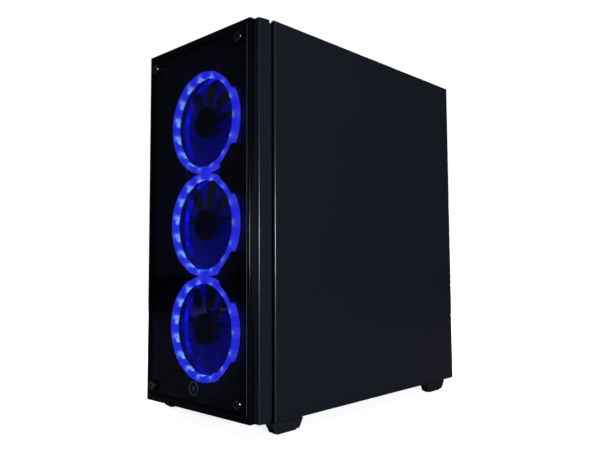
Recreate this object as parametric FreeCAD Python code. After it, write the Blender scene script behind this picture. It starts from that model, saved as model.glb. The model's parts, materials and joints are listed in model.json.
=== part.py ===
import FreeCAD, Part
import math
import os

# Desktop computer tower: a mid-size ATX case with a dark glass front over three lit 120 mm fans,
# a plain steel panel on the right, a glass panel on the left, and the computer's parts inside.
#
# Frame: millimetres, +Z up. The front faces -Y, so +X is the right-hand side seen from the front
# and +Y is the back. The origin is on the floor, under the middle of the bounding box.

# ---------------------------------------------------------------- driving dimensions
WIDTH = 200.0                # over the bezel and the right side panel
PANEL_TOP = 445.4            # overall height, feet included
PANEL_BOTTOM = 12.1
PANEL_FRONT = 31.0           # side panels, measured back from the front glass
PANEL_REAR = 396.0
SHEET = 1.0                  # steel sheet
GLASS = 4.0                  # tempered glass
SCREW_HEAD = 5.0             # height of the chrome heads on the front glass
KNOB_PROUD = 8.0             # thumbscrews standing off the back
GAP = 0.3                    # air between pieces that move past each other

PLINTH_WIDTH = 188.0         # raised frame round the front glass
PLINTH_LOW = 14.9
PLINTH_HIGH = 441.6
BEZEL_STEP = 7.7             # depth of the raised frame
BEZEL_DEPTH = 23.8
BEZEL_SLOPE = 1.4            # the bezel's top and bottom open out this much towards the back
BEZEL_WALL = 2.5
FRONT_GLASS_WIDTH = 179.6
FRONT_GLASS_LOW = 20.8
FRONT_GLASS_HIGH = 435.7
SCREW_X = 78.6               # front glass screws
SCREW_LOW = 34.2
SCREW_HIGH = 423.6

FAN = 120.0                  # standard case fan
FAN_DEPTH = 25.0
FAN_HOLES = 105.0            # hole spacing of a 120 mm fan
FAN_HOLE_R = 2.15
FAN_PITCH = 120.0
FAN_MIDDLE_Z = 225.1
FAN_FACE = 12.0              # front fans, measured back from the front glass
LIGHT_OUT = 60.0             # light ring radii and depth
LIGHT_IN = 53.0
LIGHT_DEPTH = 6.5
BLADE_TIP = 55.0
BLADE_COVER = 0.86           # share of the circle that the blades cover, seen from the front
FAN_BORE = 57.0
FAN_EAR = 17.0               # corner blocks of a fan frame
LIT_FAN_EAR = 28.0           # the same beside a light ring
HUB_R = 18.5
SPINDLE_R = 1.5
SPINDLE_FIT = 0.05           # radial running clearance

FOOT_WIDTH = 10.0
FOOT_TOP = 11.8
PAD = 1.5                    # rubber under each foot
BOARD_HEIGHT = 304.8         # ATX main board
BOARD_DEPTH = 243.8
BOARD_THICK = 1.6
STANDOFF = 6.5
SLOT_PITCH = 20.32           # expansion slots
PSU_WIDTH = 150.0            # ATX power supply
PSU_HEIGHT = 86.0
PSU_LENGTH = 140.0
LIP = 14.0                   # folded edges of the floor and the roof on the left
SLOT_OPEN = 14.0             # height of an expansion slot's opening
SHIELD_DEPTH = 44.45         # standard opening for the ports, out from the main board

BUTTON_TRAVEL = 1.5
ROCKER_TILT = 7.0            # degrees either side of level

# ---------------------------------------------------------------- planes worked out from them
HALF = WIDTH / 2
GLASS_Y = SCREW_HEAD - (SCREW_HEAD + PANEL_REAR + KNOB_PROUD) / 2   # face of the front glass
PANEL_FRONT_Y = GLASS_Y + PANEL_FRONT
PANEL_REAR_Y = GLASS_Y + PANEL_REAR
BEZEL_FACE_Y = GLASS_Y + BEZEL_STEP
BEZEL_REAR_Y = GLASS_Y + BEZEL_DEPTH
FAN_FACE_Y = GLASS_Y + FAN_FACE
FRONT_SHEET_Y = FAN_FACE_Y + FAN_DEPTH          # front face of the steel front
REAR_OUT_Y = PANEL_REAR_Y - SHEET - GAP         # outer face of the steel back
REAR_IN_Y = REAR_OUT_Y - SHEET
LEFT_X = -91.5                                  # left face of the steel chassis
RIGHT_X = HALF - SHEET - 1.5                    # right edge of the chassis sheets
PANEL_LIP_X = HALF - 6.0                        # how far the steel panel's edges fold in
FLOOR_LOW = FOOT_TOP
FLOOR_TOP = FLOOR_LOW + SHEET
ROOF_TOP = PANEL_TOP - 1.5
ROOF_LOW = ROOF_TOP - SHEET
TRAY_X = 82.0                                   # board side of the main board tray
BOARD_BACK_X = TRAY_X - STANDOFF
BOARD_X = BOARD_BACK_X - BOARD_THICK            # component side of the main board
BOARD_LOW = 126.0
BOARD_HIGH = BOARD_LOW + BOARD_HEIGHT
BOARD_REAR_Y = REAR_IN_Y - 0.4
BOARD_FRONT_Y = BOARD_REAR_Y - BOARD_DEPTH
SHROUD_TOP = 113.0
FAN_CENTRES_Z = [FAN_MIDDLE_Z + FAN_PITCH * step for step in (-1, 0, 1)]
REAR_FAN = (-30.4, 370.0)                       # x and z of the exhaust fan
ROOF_FANS_Y = (-49.0, 71.0)                     # two spare fan places under the roof
SLOT_TOP = 262.0                                # top of the first expansion slot
SHIELD_Z = (268.0, 426.7)                       # standard opening for the main board's ports
SCREW_R = 1.7                                   # shanks of the case screws
PSU_X = 3.0
PSU_LOW = 16.8
PSU_Y = REAR_IN_Y - PSU_LENGTH / 2
IO_Y = PANEL_FRONT_Y + 20.0                     # centre line of the buttons and sockets
IO_BOARD_TOP = 428.6
CPU_Y = 110.0
CPU_Z = 358.0
CARD_TOP = 260.6
CARD_LEFT = -46.0
CARD_FRONT_Y = BOARD_REAR_Y - 238.0
SIDE_GLASS_X = -HALF + 4.0                      # outer face of the side glass
TRIM = 0.6
PEG_R = 3.0                                     # bezel pegs
CLEAR_R = 2.1                                   # clearance hole of the panel screws
KNOB_INSET = 7.0                                # side glass screws, in from the chassis edges
FILTER_HALF = 66.0                              # half the width of the floor filter

# ---------------------------------------------------------------- places of the inner parts
CABLE_Y = BOARD_FRONT_Y - 16.0                  # where the cables pass the shroud
DRIVE_X = (-52.0, 50.0)                         # inside of the drive cage
DRIVE_FRONT_Y = FRONT_SHEET_Y + 34.0
DRIVE_Y = (DRIVE_FRONT_Y, DRIVE_FRONT_Y + 147.0)
DRIVE_LOW = 17.0
BAY = 29.0                                      # height of one drive bay
POWER_X = -44.0                                 # buttons and sockets on the roof, along x
RESET_X = -26.0
USB_XS = (-8.0, 12.0, 32.0)
JACK_XS = (44.0, 52.5)
CAP_TOP = PANEL_TOP - 0.2                       # tops of the buttons and sockets
SWITCH_TOP = 436.0                              # contacts under the buttons
DIMM_Y = [BOARD_REAR_Y - 150.0 - 9.5 * step for step in range(4)]   # memory sockets
DIMM_Z = (CPU_Z - 68, CPU_Z + 68)
PORTS = ((274, 14, 15), (292, 14, 15), (312, 16, 32), (332, 16, 32), (352, 32, 22), (388, 14, 15),
         (406, 17, 30))                         # rear ports: bottom, height, reach from the board
TOWER_X = (-74.0, 36.0)                         # fin stack of the processor cooler
TOWER_Y = (CPU_Y - 14, CPU_Y + 34)
CARD_FANS_Y = (CARD_FRONT_Y + 62, CARD_FRONT_Y + 168)
CARD_SHROUD = (CARD_TOP - BOARD_THICK - 38.0, CARD_TOP - BOARD_THICK)   # the card's cover, bottom and top
INLET_X = PSU_X - 44                            # mains inlet and rocker switch
SWITCH_X = PSU_X - 18
INLET_Z = 38.0
ROCKER = (12.6, 19.4)                           # width and height of the rocker
ROCKER_Y = REAR_IN_Y - 3.0                      # its cross pin
PSU_HOLE = (PSU_X + 40.0, PSU_LOW + 70.0)       # where the cables leave the power supply

V = FreeCAD.Vector
AXES = {"x": V(1, 0, 0), "y": V(0, 1, 0), "z": V(0, 0, 1)}


# ---------------------------------------------------------------- shape helpers
def box(x, y, z):
    """A block from three (low, high) pairs."""
    return Part.makeBox(x[1] - x[0], y[1] - y[0], z[1] - z[0], V(x[0], y[0], z[0]))


def around(middle, size):
    """The (low, high) pair of a length centred on a point."""
    return (middle - size / 2, middle + size / 2)


def edges_along(body, axis):
    """Straight edges that run along an axis."""
    found = []
    for edge in body.Edges:
        if abs(edge.tangentAt(edge.FirstParameter).dot(AXES[axis])) > 0.99:
            found.append(edge)
    return found


def rounded(x, y, z, axis, radius):
    """A block whose four edges along an axis are rounded."""
    body = box(x, y, z)
    return body.makeFillet(radius, edges_along(body, axis))


def rod(centre, axis, radius, length):
    """A cylinder that starts at a point and runs along +axis."""
    return Part.makeCylinder(radius, length, V(*centre), AXES[axis])


def tube(centre, axis, outer, inner, length):
    """A ring or pipe that starts at a point and runs along +axis."""
    return rod(centre, axis, outer, length).cut(rod(centre, axis, inner, length))


def join(parts):
    """One solid from pieces that touch or overlap."""
    return parts[0].multiFuse(parts[1:]).removeSplitter()


def corners(x, z):
    """The four corners of a rectangle given by two (low, high) pairs."""
    return [(a, b) for a in x for b in z]


def fan_corners(x, z):
    """The four screw places of a 120 mm fan centred at a point."""
    return corners(around(x, FAN_HOLES), around(z, FAN_HOLES))


def mirrored(body):
    """The same piece on the other side of the middle plane."""
    return body.mirror(V(0, 0, 0), AXES["x"])


def moved(body, x=0.0, y=0.0, z=0.0):
    """A shifted copy."""
    copy = body.copy()
    copy.translate(V(x, y, z))
    return copy


def stood(body, front, axis_direction):
    """Turns a piece built with its axis along +Z to another direction and moves it to a point."""
    copy = body.copy()
    turned = FreeCAD.Placement(V(*front), FreeCAD.Rotation(V(0, 0, 1), axis_direction))
    copy.Placement = turned * copy.Placement
    return copy


def slots_in_circle(centre, radius, pitch, width):
    """Chord-long vent slots that fill a circle; the slots run along x, in a plane of x and one more axis."""
    chords = []
    count = int(radius // pitch)
    for step in range(-count, count + 1):
        offset = step * pitch
        half = math.sqrt(radius ** 2 - offset ** 2) - width / 2
        if half > width:
            chords.append((around(centre[0], 2 * half), around(centre[1] + offset, width)))
    return chords


def bent_rod(points, radius, bend=None):
    """A rod along straight runs joined by tangent arcs: all of one bend, or as wide as the runs allow."""
    share = 0.45
    edges = []
    start = V(*points[0])
    for before, corner, after in zip(points, points[1:], points[2:]):
        corner = V(*corner)
        into = (corner - V(*before)).normalize()
        out = (V(*after) - corner).normalize()
        half_turn = into.getAngle(out) / 2
        shorter = min(corner.distanceToPoint(V(*before)), corner.distanceToPoint(V(*after)))
        arc = bend or share * shorter / math.tan(half_turn)
        reach = arc * math.tan(half_turn)
        first = corner - into * reach
        last = corner + out * reach
        inward = (out - into).normalize()
        middle = corner + inward * (arc / math.cos(half_turn) - arc)
        edges.append(Part.LineSegment(start, first).toShape())
        edges.append(Part.Arc(first, middle, last).toShape())
        start = last
    edges.append(Part.LineSegment(start, V(*points[-1])).toShape())
    heading = V(*points[1]) - V(*points[0])
    section = Part.Wire(Part.makeCircle(radius, V(*points[0]), heading))
    return Part.Wire(edges).makePipeShell([section], True, False, 2)


def save(name, *pieces):
    """Writes one named node; several solids in it are a group of like pieces."""
    solids = [solid for piece in pieces for solid in piece.Solids]
    Part.makeCompound(solids).exportStep(f"parts/{name}.step")


# ---------------------------------------------------------------- fans
def blade_section(radius, middle, low, high, reach, thickness):
    """Closed outline of a cambered blade, flat in the plane that touches its cylinder."""
    outwards = V(math.cos(middle), math.sin(middle), 0)
    sideways = V(-math.sin(middle), math.cos(middle), 0)
    upper = []
    lower = []
    stations = 4
    camber = 0.22
    for step in range(stations + 1):
        share = step / stations
        along = (share - 0.5) * reach
        height = high - (high - low) * (share + camber * math.sin(math.pi * share))
        thick = thickness * (0.35 + 0.65 * math.sin(math.pi * share)) / 2
        point = outwards * radius + sideways * along
        upper.append(point + V(0, 0, height + thick))
        lower.append(point + V(0, 0, height - thick))
    outline = upper + lower[::-1]
    return Part.makePolygon(outline + [outline[0]])


def rotor(tip, hub, height, blades, low, high, socket):
    """Fan wheel on +Z: a hub cup bored for the spindle, with broad swept blades round it."""
    cup = rod((0, 0, 0), "z", hub, height)
    cup = cup.makeFillet(1.2, [edge for edge in cup.Edges if edge.BoundBox.ZMax < 0.01])
    pieces = [cup]
    sweep = math.radians(14)
    share = 2 * math.pi / blades
    for step in range(blades):
        turn = share * step
        root = blade_section(hub - 1.5, turn, low, high, share * hub * BLADE_COVER, 1.8)
        end = blade_section(tip, turn + sweep, low + 1, high - 1, share * tip * BLADE_COVER, 1.4)
        wing = Part.makeLoft([root, end], True, True)
        pieces.append(wing.common(tube((0, 0, -1), "z", tip, hub - 1, height + 2)))
    bore = rod((0, 0, height - socket), "z", SPINDLE_R + SPINDLE_FIT, socket)
    return join(pieces).cut(bore)


def motor_mount(hub, bore, depth, pin):
    """Motor plate, its four struts and the spindle, at the back of a fan that runs along +Z."""
    plate = 2.5
    strut = 5.0
    low = depth - plate
    pieces = [rod((0, 0, low), "z", hub, plate), rod((0, 0, depth - pin), "z", SPINDLE_R, pin)]
    pieces.append(box((-bore - 1, bore + 1), around(0, strut), (low, depth)))
    pieces.append(box(around(0, strut), (-bore - 1, bore + 1), (low, depth)))
    return pieces


def fan_frame(recess, ear):
    """A 120 mm fan frame on +Z. A recess leaves only corner ears at the front, round a light ring."""
    flange = 3.5
    outer = around(0, FAN)
    pieces = [rounded(outer, outer, (recess, recess + flange), "z", 5)]
    pieces.append(rounded(outer, outer, (FAN_DEPTH - flange, FAN_DEPTH), "z", 5))
    pieces.append(rod((0, 0, recess), "z", FAN_BORE + 1.8, FAN_DEPTH - recess))
    for x, y in corners(outer, outer):
        post = around(x - math.copysign(ear / 2, x), ear), around(y - math.copysign(ear / 2, y), ear)
        pieces.append(rounded(post[0], post[1], (0, FAN_DEPTH), "z", 4.9))
    body = join(pieces)
    cuts = [rod((0, 0, recess), "z", FAN_BORE, FAN_DEPTH)]
    if recess:
        cuts.append(rod((0, 0, 0), "z", LIGHT_OUT + GAP, recess))
    cuts += [rod((x, y, 0), "z", FAN_HOLE_R, FAN_DEPTH) for x, y in fan_corners(0, 0)]
    pin = 16.0
    return join([body.cut(cuts)] + motor_mount(HUB_R, FAN_BORE, FAN_DEPTH, pin))


def fan_rotor():
    """Wheel of a 120 mm fan; its hub face is 2.5 mm behind the front of the fan."""
    height = FAN_DEPTH - 2.5 - 2.5 - 0.5
    return moved(rotor(BLADE_TIP, HUB_R, height, 9, 5.5, 17.5, 13.5), z=2.5)


def front_fans():
    """Three intake fans behind the front glass, each with a ring of light round its mouth."""
    frame = fan_frame(LIGHT_DEPTH, LIT_FAN_EAR)
    wheel = fan_rotor()
    ring = tube((0, 0, 0), "z", LIGHT_OUT, LIGHT_IN, LIGHT_DEPTH)
    ring = ring.makeFillet(0.8, [edge for edge in ring.Edges if edge.BoundBox.ZMax < 0.01])
    rings = []
    for place, z in zip(("lower", "middle", "upper"), FAN_CENTRES_Z):
        front = (0, FAN_FACE_Y, z)
        save(f"front_fan_frame_{place}", stood(frame, front, AXES["y"]))
        save(f"front_fan_rotor_{place}", stood(wheel, front, AXES["y"]))
        rings.append(stood(ring, front, AXES["y"]))
    save("front_light_rings", *rings)


def rear_fan():
    """Exhaust fan inside the back; its motor plate faces the outside."""
    front = (REAR_FAN[0], REAR_IN_Y - FAN_DEPTH, REAR_FAN[1])
    save("rear_fan_frame", stood(fan_frame(0, FAN_EAR), front, AXES["y"]))
    save("rear_fan_rotor", stood(fan_rotor(), front, AXES["y"]))


# ---------------------------------------------------------------- chassis
def chassis_floor():
    """Bottom sheet with vents under the power supply and an upturned left edge."""
    right = PANEL_LIP_X - GAP
    sheet = box((LEFT_X, right), (PANEL_FRONT_Y, REAR_OUT_Y), (FLOOR_LOW, FLOOR_TOP))
    edge = box((LEFT_X, LEFT_X + SHEET), (FRONT_SHEET_Y + SHEET, REAR_IN_Y), (FLOOR_TOP, FLOOR_TOP + LIP))
    rail_y = (PSU_Y - 70, REAR_OUT_Y)
    low = FLOOR_LOW - 3.4
    rails = []
    for side in (-1, 1):
        inner = PSU_X + side * (FILTER_HALF + GAP)
        outer = inner + side * 1.5
        lip = inner - side * 2
        rails.append(box(sorted((inner, outer)), rail_y, (low, FLOOR_LOW)))
        rails.append(box(sorted((lip, outer)), rail_y, (low, low + 0.5)))
    cuts = []
    for x, y in slots_in_circle((PSU_X, PSU_Y), FAN_BORE, 8, 5):
        cuts.append(box(x, y, (FLOOR_LOW, FLOOR_TOP)))
    for y in side_screw_places():
        cuts.append(rod((LEFT_X, y, FLOOR_TOP + KNOB_INSET), "x", CLEAR_R, SHEET))
    save("chassis_floor", join([sheet, edge] + rails).cut(cuts))


def side_screw_places():
    """Front and rear places, along y, of the screws that hold the side glass."""
    return (PANEL_FRONT_Y + 22.0, PANEL_REAR_Y - 18.0)


def chassis_front():
    """Front sheet with three round fan openings; its edges turn back along both sides."""
    y = (FRONT_SHEET_Y, FRONT_SHEET_Y + SHEET)
    turned = (FRONT_SHEET_Y + SHEET, FRONT_SHEET_Y + 22)
    sheet = box((LEFT_X, RIGHT_X), y, (FLOOR_TOP, ROOF_LOW))
    left = box((LEFT_X, LEFT_X + SHEET), turned, (FLOOR_TOP + LIP, ROOF_LOW - LIP))
    right = box((RIGHT_X - SHEET, RIGHT_X), turned, (FLOOR_TOP + 4, ROOF_LOW - 4))
    cuts = []
    for z in FAN_CENTRES_Z:
        cuts.append(rod((0, y[0], z), "y", FAN_BORE, SHEET))
        cuts += [rod((a, y[0], b), "y", FAN_HOLE_R, SHEET) for a, b in fan_corners(0, z)]
        for side in (-1, 1):
            for step in (-2, -1, 0, 1, 2):
                slot = around(side * 76.0, 12), y, around(z + 20 * step, 8)
                cuts.append(rounded(slot[0], slot[1], slot[2], "y", 3.5))
    cuts += [rod((a, y[0], b), "y", PEG_R + GAP, SHEET) for a, b in peg_places()]
    cuts.append(panel_lip_relief())
    save("chassis_front", join([sheet, left, right]).cut(cuts))


def peg_places():
    """Four corners where the bezel's pegs push into the front sheet."""
    return corners((-85.0, 85.0), (30.0, 425.0))


def panel_lip_relief():
    """Clears the lower right edge of the upright sheets for the side panel's folded lip."""
    z = (FLOOR_TOP, PANEL_BOTTOM + SHEET + GAP)
    return box((PANEL_LIP_X - GAP, RIGHT_X), (FRONT_SHEET_Y, REAR_OUT_Y), z)


def chassis_roof():
    """Top sheet with two vented fan places and a well for the buttons and sockets."""
    sheet = box((LEFT_X, RIGHT_X), (PANEL_FRONT_Y, REAR_OUT_Y), (ROOF_LOW, ROOF_TOP))
    edge = box((LEFT_X, LEFT_X + SHEET), (FRONT_SHEET_Y + SHEET, REAR_IN_Y), (ROOF_LOW - LIP, ROOF_LOW))
    z = (ROOF_LOW, ROOF_TOP)
    cuts = [box(around(0, 124), around(IO_Y, 24), z)]
    for middle in ROOF_FANS_Y:
        for x, y in slots_in_circle((0, middle), FAN_BORE, 8, 5):
            cuts.append(box(x, y, z))
        cuts += [rod((a, b, ROOF_LOW), "z", FAN_HOLE_R, SHEET) for a, b in fan_corners(0, middle)]
    for y in side_screw_places():
        cuts.append(rod((LEFT_X, y, ROOF_LOW - KNOB_INSET), "x", CLEAR_R, SHEET))
    save("chassis_roof", join([sheet, edge]).cut(cuts))


def slot_low(number):
    """Bottom of an expansion slot's opening, counted from 0 at the top."""
    return SLOT_TOP - SLOT_PITCH * (number + 1) + (SLOT_PITCH - SLOT_OPEN) / 2


def chassis_rear():
    """Back sheet: port opening, exhaust grille, seven slot openings and the power supply opening."""
    y = (REAR_IN_Y, REAR_OUT_Y)
    sheet = box((LEFT_X, RIGHT_X), y, (FLOOR_TOP, ROOF_LOW))
    flange_y = (REAR_IN_Y - 12, REAR_IN_Y)
    left = box((LEFT_X, LEFT_X + SHEET), flange_y, (FLOOR_TOP + LIP, ROOF_LOW - LIP))
    cuts = [box(*shield_opening(), z=SHIELD_Z)]
    for x, z in slots_in_circle(REAR_FAN, FAN_BORE, 7, 4.5):
        cuts.append(box(x, y, z))
    cuts += [rod((a, y[0], b), "y", FAN_HOLE_R, SHEET) for a, b in fan_corners(*REAR_FAN)]
    for number in range(7):
        low = slot_low(number)
        cuts.append(box((CARD_LEFT + 16, BOARD_X - 4), y, (low, low + SLOT_OPEN)))
    cuts.append(box(around(PSU_X, PSU_WIDTH - 22), y, (PSU_LOW + 3, PSU_LOW + PSU_HEIGHT - 3)))
    cuts += [rod((x, y[0], z), "y", SCREW_R + 0.4, SHEET) for x, z in psu_screw_places()]
    cuts += [rod((HALF - 11, y[0], z), "y", CLEAR_R, SHEET) for z in panel_screw_places()]
    cuts.append(panel_lip_relief())
    save("chassis_rear", join([sheet, left]).cut(cuts))


def psu_screw_places():
    """The four standard screw places on the back of an ATX power supply."""
    return [(PSU_X - 69, PSU_LOW + 6), (PSU_X - 69, PSU_LOW + 80),
            (PSU_X + 69, PSU_LOW + 16), (PSU_X + 69, PSU_LOW + 80)]


def shield_opening():
    """The x and y ranges of the standard opening for the main board's ports."""
    return (BOARD_X - SHIELD_DEPTH, BOARD_X), (REAR_IN_Y, REAR_OUT_Y)


def panel_screw_places():
    """Heights of the thumbscrews that hold the right side panel."""
    return (60.0, 398.0)


def motherboard_tray():
    """Upright wall that carries the main board on raised standoffs, with cable openings."""
    sheet = box((TRAY_X, TRAY_X + SHEET), (FRONT_SHEET_Y + SHEET, REAR_IN_Y), (FLOOR_TOP, ROOF_LOW))
    x = (TRAY_X, TRAY_X + SHEET)
    cuts = [rounded(x, around(CPU_Y, 110), around(CPU_Z, 100), "x", 6)]
    for z in (170.0, 260.0, 350.0):
        cuts.append(rounded(x, around(BOARD_FRONT_Y - 18, 26), around(z, 56), "x", 12))
    cuts.append(rounded(x, around(BOARD_FRONT_Y - 10, 60), around(60, 60), "x", 10))
    posts = []
    for z in (BOARD_LOW + 10, BOARD_LOW + 150, BOARD_HIGH - 10):
        for y in (BOARD_FRONT_Y + 6, BOARD_REAR_Y - 82, BOARD_REAR_Y - 8):
            posts.append(Part.makeCone(2.6, 5.0, STANDOFF, V(BOARD_BACK_X, y, z), AXES["x"]))
    save("motherboard_tray", join([sheet.cut(cuts)] + posts))


def psu_shroud():
    """Cover over the power supply and drives: a shelf and its left wall, with a cable hole."""
    front = FRONT_SHEET_Y + 24
    left = LEFT_X + SHEET
    shelf = box((left, TRAY_X), (front, REAR_IN_Y), (SHROUD_TOP - SHEET, SHROUD_TOP))
    wall = box((left, left + SHEET), (front, REAR_IN_Y - 24), (FLOOR_TOP, SHROUD_TOP))
    hole = rounded(around(30, 44), around(CABLE_Y, 22), (SHROUD_TOP - SHEET, SHROUD_TOP), "z", 10)
    vents = []
    for step in range(7):
        y = BOARD_FRONT_Y + 34 + 22 * step
        vents.append(rounded(around(-62, 34), around(y, 8), (SHROUD_TOP - SHEET, SHROUD_TOP), "z", 3.5))
    save("psu_shroud", join([shelf, wall]).cut([hole] + vents))


def drives():
    """Two-bay cage with a hard drive in its lower bay, and a solid state drive on the shroud."""
    out_x = (DRIVE_X[0] - SHEET, DRIVE_X[1] + SHEET)
    z = (FLOOR_TOP, DRIVE_LOW + 2 * BAY)
    pieces = [box((x, x + SHEET), DRIVE_Y, z) for x in (out_x[0], DRIVE_X[1])]
    for level in (DRIVE_LOW - SHEET, DRIVE_LOW + BAY - SHEET, DRIVE_LOW + 2 * BAY - SHEET):
        pieces.append(box(out_x, DRIVE_Y, (level, level + SHEET)))
    save("drive_cage", join(pieces))
    body = (DRIVE_X[0] + 0.2, DRIVE_X[1] - 0.2), (DRIVE_Y[0], DRIVE_Y[1] - 1), (DRIVE_LOW, DRIVE_LOW + 26.1)
    save("hard_drive", rounded(body[0], body[1], body[2], "z", 3))
    flat = around(-52, 70), around(BOARD_FRONT_Y - 20, 100), (SHROUD_TOP, SHROUD_TOP + 7)
    save("solid_state_drive", rounded(flat[0], flat[1], flat[2], "z", 2))


def foot(near, far, low_near, low_far):
    """One right-hand foot and its rubber pad; its ends lean inwards to the floor."""
    inner = HALF - FOOT_WIDTH
    lean_near = (low_near - near) * PAD / FOOT_TOP
    lean_far = (far - low_far) * PAD / FOOT_TOP
    outline = [V(inner, near, FOOT_TOP), V(inner, far, FOOT_TOP)]
    outline += [V(inner, low_far + lean_far, PAD), V(inner, low_near - lean_near, PAD)]
    body = Part.Face(Part.makePolygon(outline + [outline[0]])).extrude(V(FOOT_WIDTH, 0, 0))
    body = body.makeFillet(1.2, [edge for edge in edges_along(body, "x") if edge.BoundBox.ZMax < PAD + 0.01])
    lug = box((inner - 14, inner), around((near + far) / 2, 26), (FOOT_TOP - 3, FOOT_TOP))
    pad = rounded((inner + TRIM, HALF - TRIM), (low_near + 2, low_far - 2), (0, PAD), "z", 2)
    return join([body, lug]), pad


def feet():
    """Four plastic feet flush with the sides, on rubber pads."""
    front = foot(GLASS_Y + 25.3, GLASS_Y + 73.5, GLASS_Y + 32.4, GLASS_Y + 66.4)
    rear = foot(GLASS_Y + 323.3, GLASS_Y + 371.7, GLASS_Y + 328.9, GLASS_Y + 362.3)
    save("feet", front[0], rear[0], mirrored(front[0]), mirrored(rear[0]))
    save("foot_pads", front[1], rear[1], mirrored(front[1]), mirrored(rear[1]))


# ---------------------------------------------------------------- outer panels
def right_panel():
    """Plain steel side: one skin with rounded folded edges, and two captive thumbscrews."""
    outer = box((PANEL_LIP_X, HALF), (PANEL_FRONT_Y, PANEL_REAR_Y), (PANEL_BOTTOM, PANEL_TOP))
    face_edges = [edge for edge in outer.Edges if edge.BoundBox.XMin > HALF - 0.01]
    outer = outer.makeFillet(1.5, face_edges)
    hem = 2.2
    z = (PANEL_BOTTOM + SHEET, PANEL_TOP - SHEET)
    hollow = box((PANEL_LIP_X, HALF - SHEET), (PANEL_FRONT_Y + hem, PANEL_REAR_Y - SHEET), z)
    mouth = box((PANEL_LIP_X, HALF - hem), (PANEL_FRONT_Y, PANEL_FRONT_Y + hem), z)
    tabs = []
    holes = []
    for level in panel_screw_places():
        tabs.append(box((HALF - 18, PANEL_LIP_X), (PANEL_REAR_Y - SHEET, PANEL_REAR_Y), around(level, 16)))
        holes.append(rod((HALF - 11, PANEL_REAR_Y - SHEET, level), "y", 1.8, SHEET))
    save("right_panel", join([outer.cut([hollow, mouth])] + tabs).cut(holes))
    screws = [thumbscrew((HALF - 11, PANEL_REAR_Y, z), AXES["y"]) for z in panel_screw_places()]
    save("right_panel_screws", *screws)


def thumbscrew(seat, outwards):
    """Thumbscrew whose grooved head stands on a seat; its shank goes the other way."""
    head = rod((0, 0, 0), "z", 5.2, KNOB_PROUD)
    head = head.makeChamfer(0.8, [edge for edge in head.Edges if edge.BoundBox.ZMin > KNOB_PROUD - 0.01])
    grooves = []
    count = 18
    for step in range(count):
        turn = 2 * math.pi * step / count
        grooves.append(rod((5.3 * math.cos(turn), 5.3 * math.sin(turn), 1.5), "z", 0.45, KNOB_PROUD))
    shank = rod((0, 0, -9), "z", 1.8, 9)
    return stood(join([head.cut(grooves), shank]), seat, outwards)


def side_glass():
    """Left tinted glass panel, held by four flat knobs that screw into the chassis."""
    x = (SIDE_GLASS_X, SIDE_GLASS_X + GLASS)
    y = (PANEL_FRONT_Y + 3, PANEL_REAR_Y - 2)
    z = (FLOOR_LOW + 2, ROOF_TOP - 0.5)
    pane = rounded(x, y, z, "x", 4)
    pane = pane.makeChamfer(0.5, [edge for edge in pane.Edges if edge.BoundBox.XLength < 0.01])
    places = corners(side_screw_places(), (FLOOR_TOP + KNOB_INSET, ROOF_LOW - KNOB_INSET))
    holes = [rod((x[0], a, b), "x", 3.0, GLASS) for a, b in places]
    save("side_glass", pane.cut(holes))
    knobs = []
    for a, b in places:
        head = rod((-HALF, a, b), "x", 6.5, 4)
        head = head.makeFillet(1.0, [edge for edge in head.Edges if edge.BoundBox.XMax < -HALF + 0.01])
        sleeve = rod((x[0], a, b), "x", 3.0, GLASS)
        shank = rod((x[1], a, b), "x", 1.8, 5)
        knobs.append(join([head, sleeve, shank]))
    save("side_glass_knobs", *knobs)


def front_bezel():
    """Moulded front: outer shell, raised frame for the glass, fan wall and screw bosses."""
    low = PLINTH_LOW - 0.3
    high = PLINTH_HIGH + 0.9
    shell = sloped_block(HALF, low, high, BEZEL_FACE_Y, BEZEL_REAR_Y)
    shell = shell.makeFillet(1.1, shell.Edges)
    hollow = sloped_block(HALF - BEZEL_WALL, low + BEZEL_WALL, high - BEZEL_WALL,
                          BEZEL_FACE_Y + BEZEL_WALL, BEZEL_REAR_Y)
    plinth = box(around(0, PLINTH_WIDTH), (GLASS_Y, BEZEL_FACE_Y + BEZEL_WALL), (PLINTH_LOW, PLINTH_HIGH))
    plinth = plinth.makeFillet(0.5, [edge for edge in plinth.Edges if edge.BoundBox.YMax < GLASS_Y + 0.01])
    seat_x = around(0, FRONT_GLASS_WIDTH + TRIM)
    seat = box(seat_x, (GLASS_Y, GLASS_Y + GLASS), (FRONT_GLASS_LOW - GAP, FRONT_GLASS_HIGH + GAP))
    ledge = 4.0
    window_x = around(0, FRONT_GLASS_WIDTH - 2 * ledge)
    window_z = (FRONT_GLASS_LOW + ledge, FRONT_GLASS_HIGH - ledge)
    window = box(window_x, (GLASS_Y + GLASS, BEZEL_FACE_Y + BEZEL_WALL), window_z)
    body = join([shell.cut(hollow), plinth]).cut([seat, window])
    wall_y = (GLASS_Y + 19.0, GLASS_Y + 21.0)
    inside = HALF - BEZEL_WALL
    wall = box((-inside, inside), wall_y, (low + BEZEL_WALL, high - BEZEL_WALL))
    clear = 1.5
    opening_z = (FAN_CENTRES_Z[0] - FAN / 2 - clear, FAN_CENTRES_Z[-1] + FAN / 2 + clear)
    wall = wall.cut(box(around(0, FAN + 2 * clear), wall_y, opening_z))
    bosses = []
    bores = []
    for x, z in corners((-SCREW_X, SCREW_X), (SCREW_LOW, SCREW_HIGH)):
        bosses.append(rod((x, GLASS_Y + GLASS, z), "y", 5.5, wall_y[0] - GLASS_Y - GLASS))
        bores.append(rod((x, GLASS_Y + GLASS, z), "y", 3.0, 12))
    pegs = [rod((x, wall_y[1], z), "y", PEG_R, FRONT_SHEET_Y + SHEET - wall_y[1]) for x, z in peg_places()]
    save("front_bezel", join([body, wall, bezel_skirt()] + bosses + pegs).cut(bores))


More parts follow.
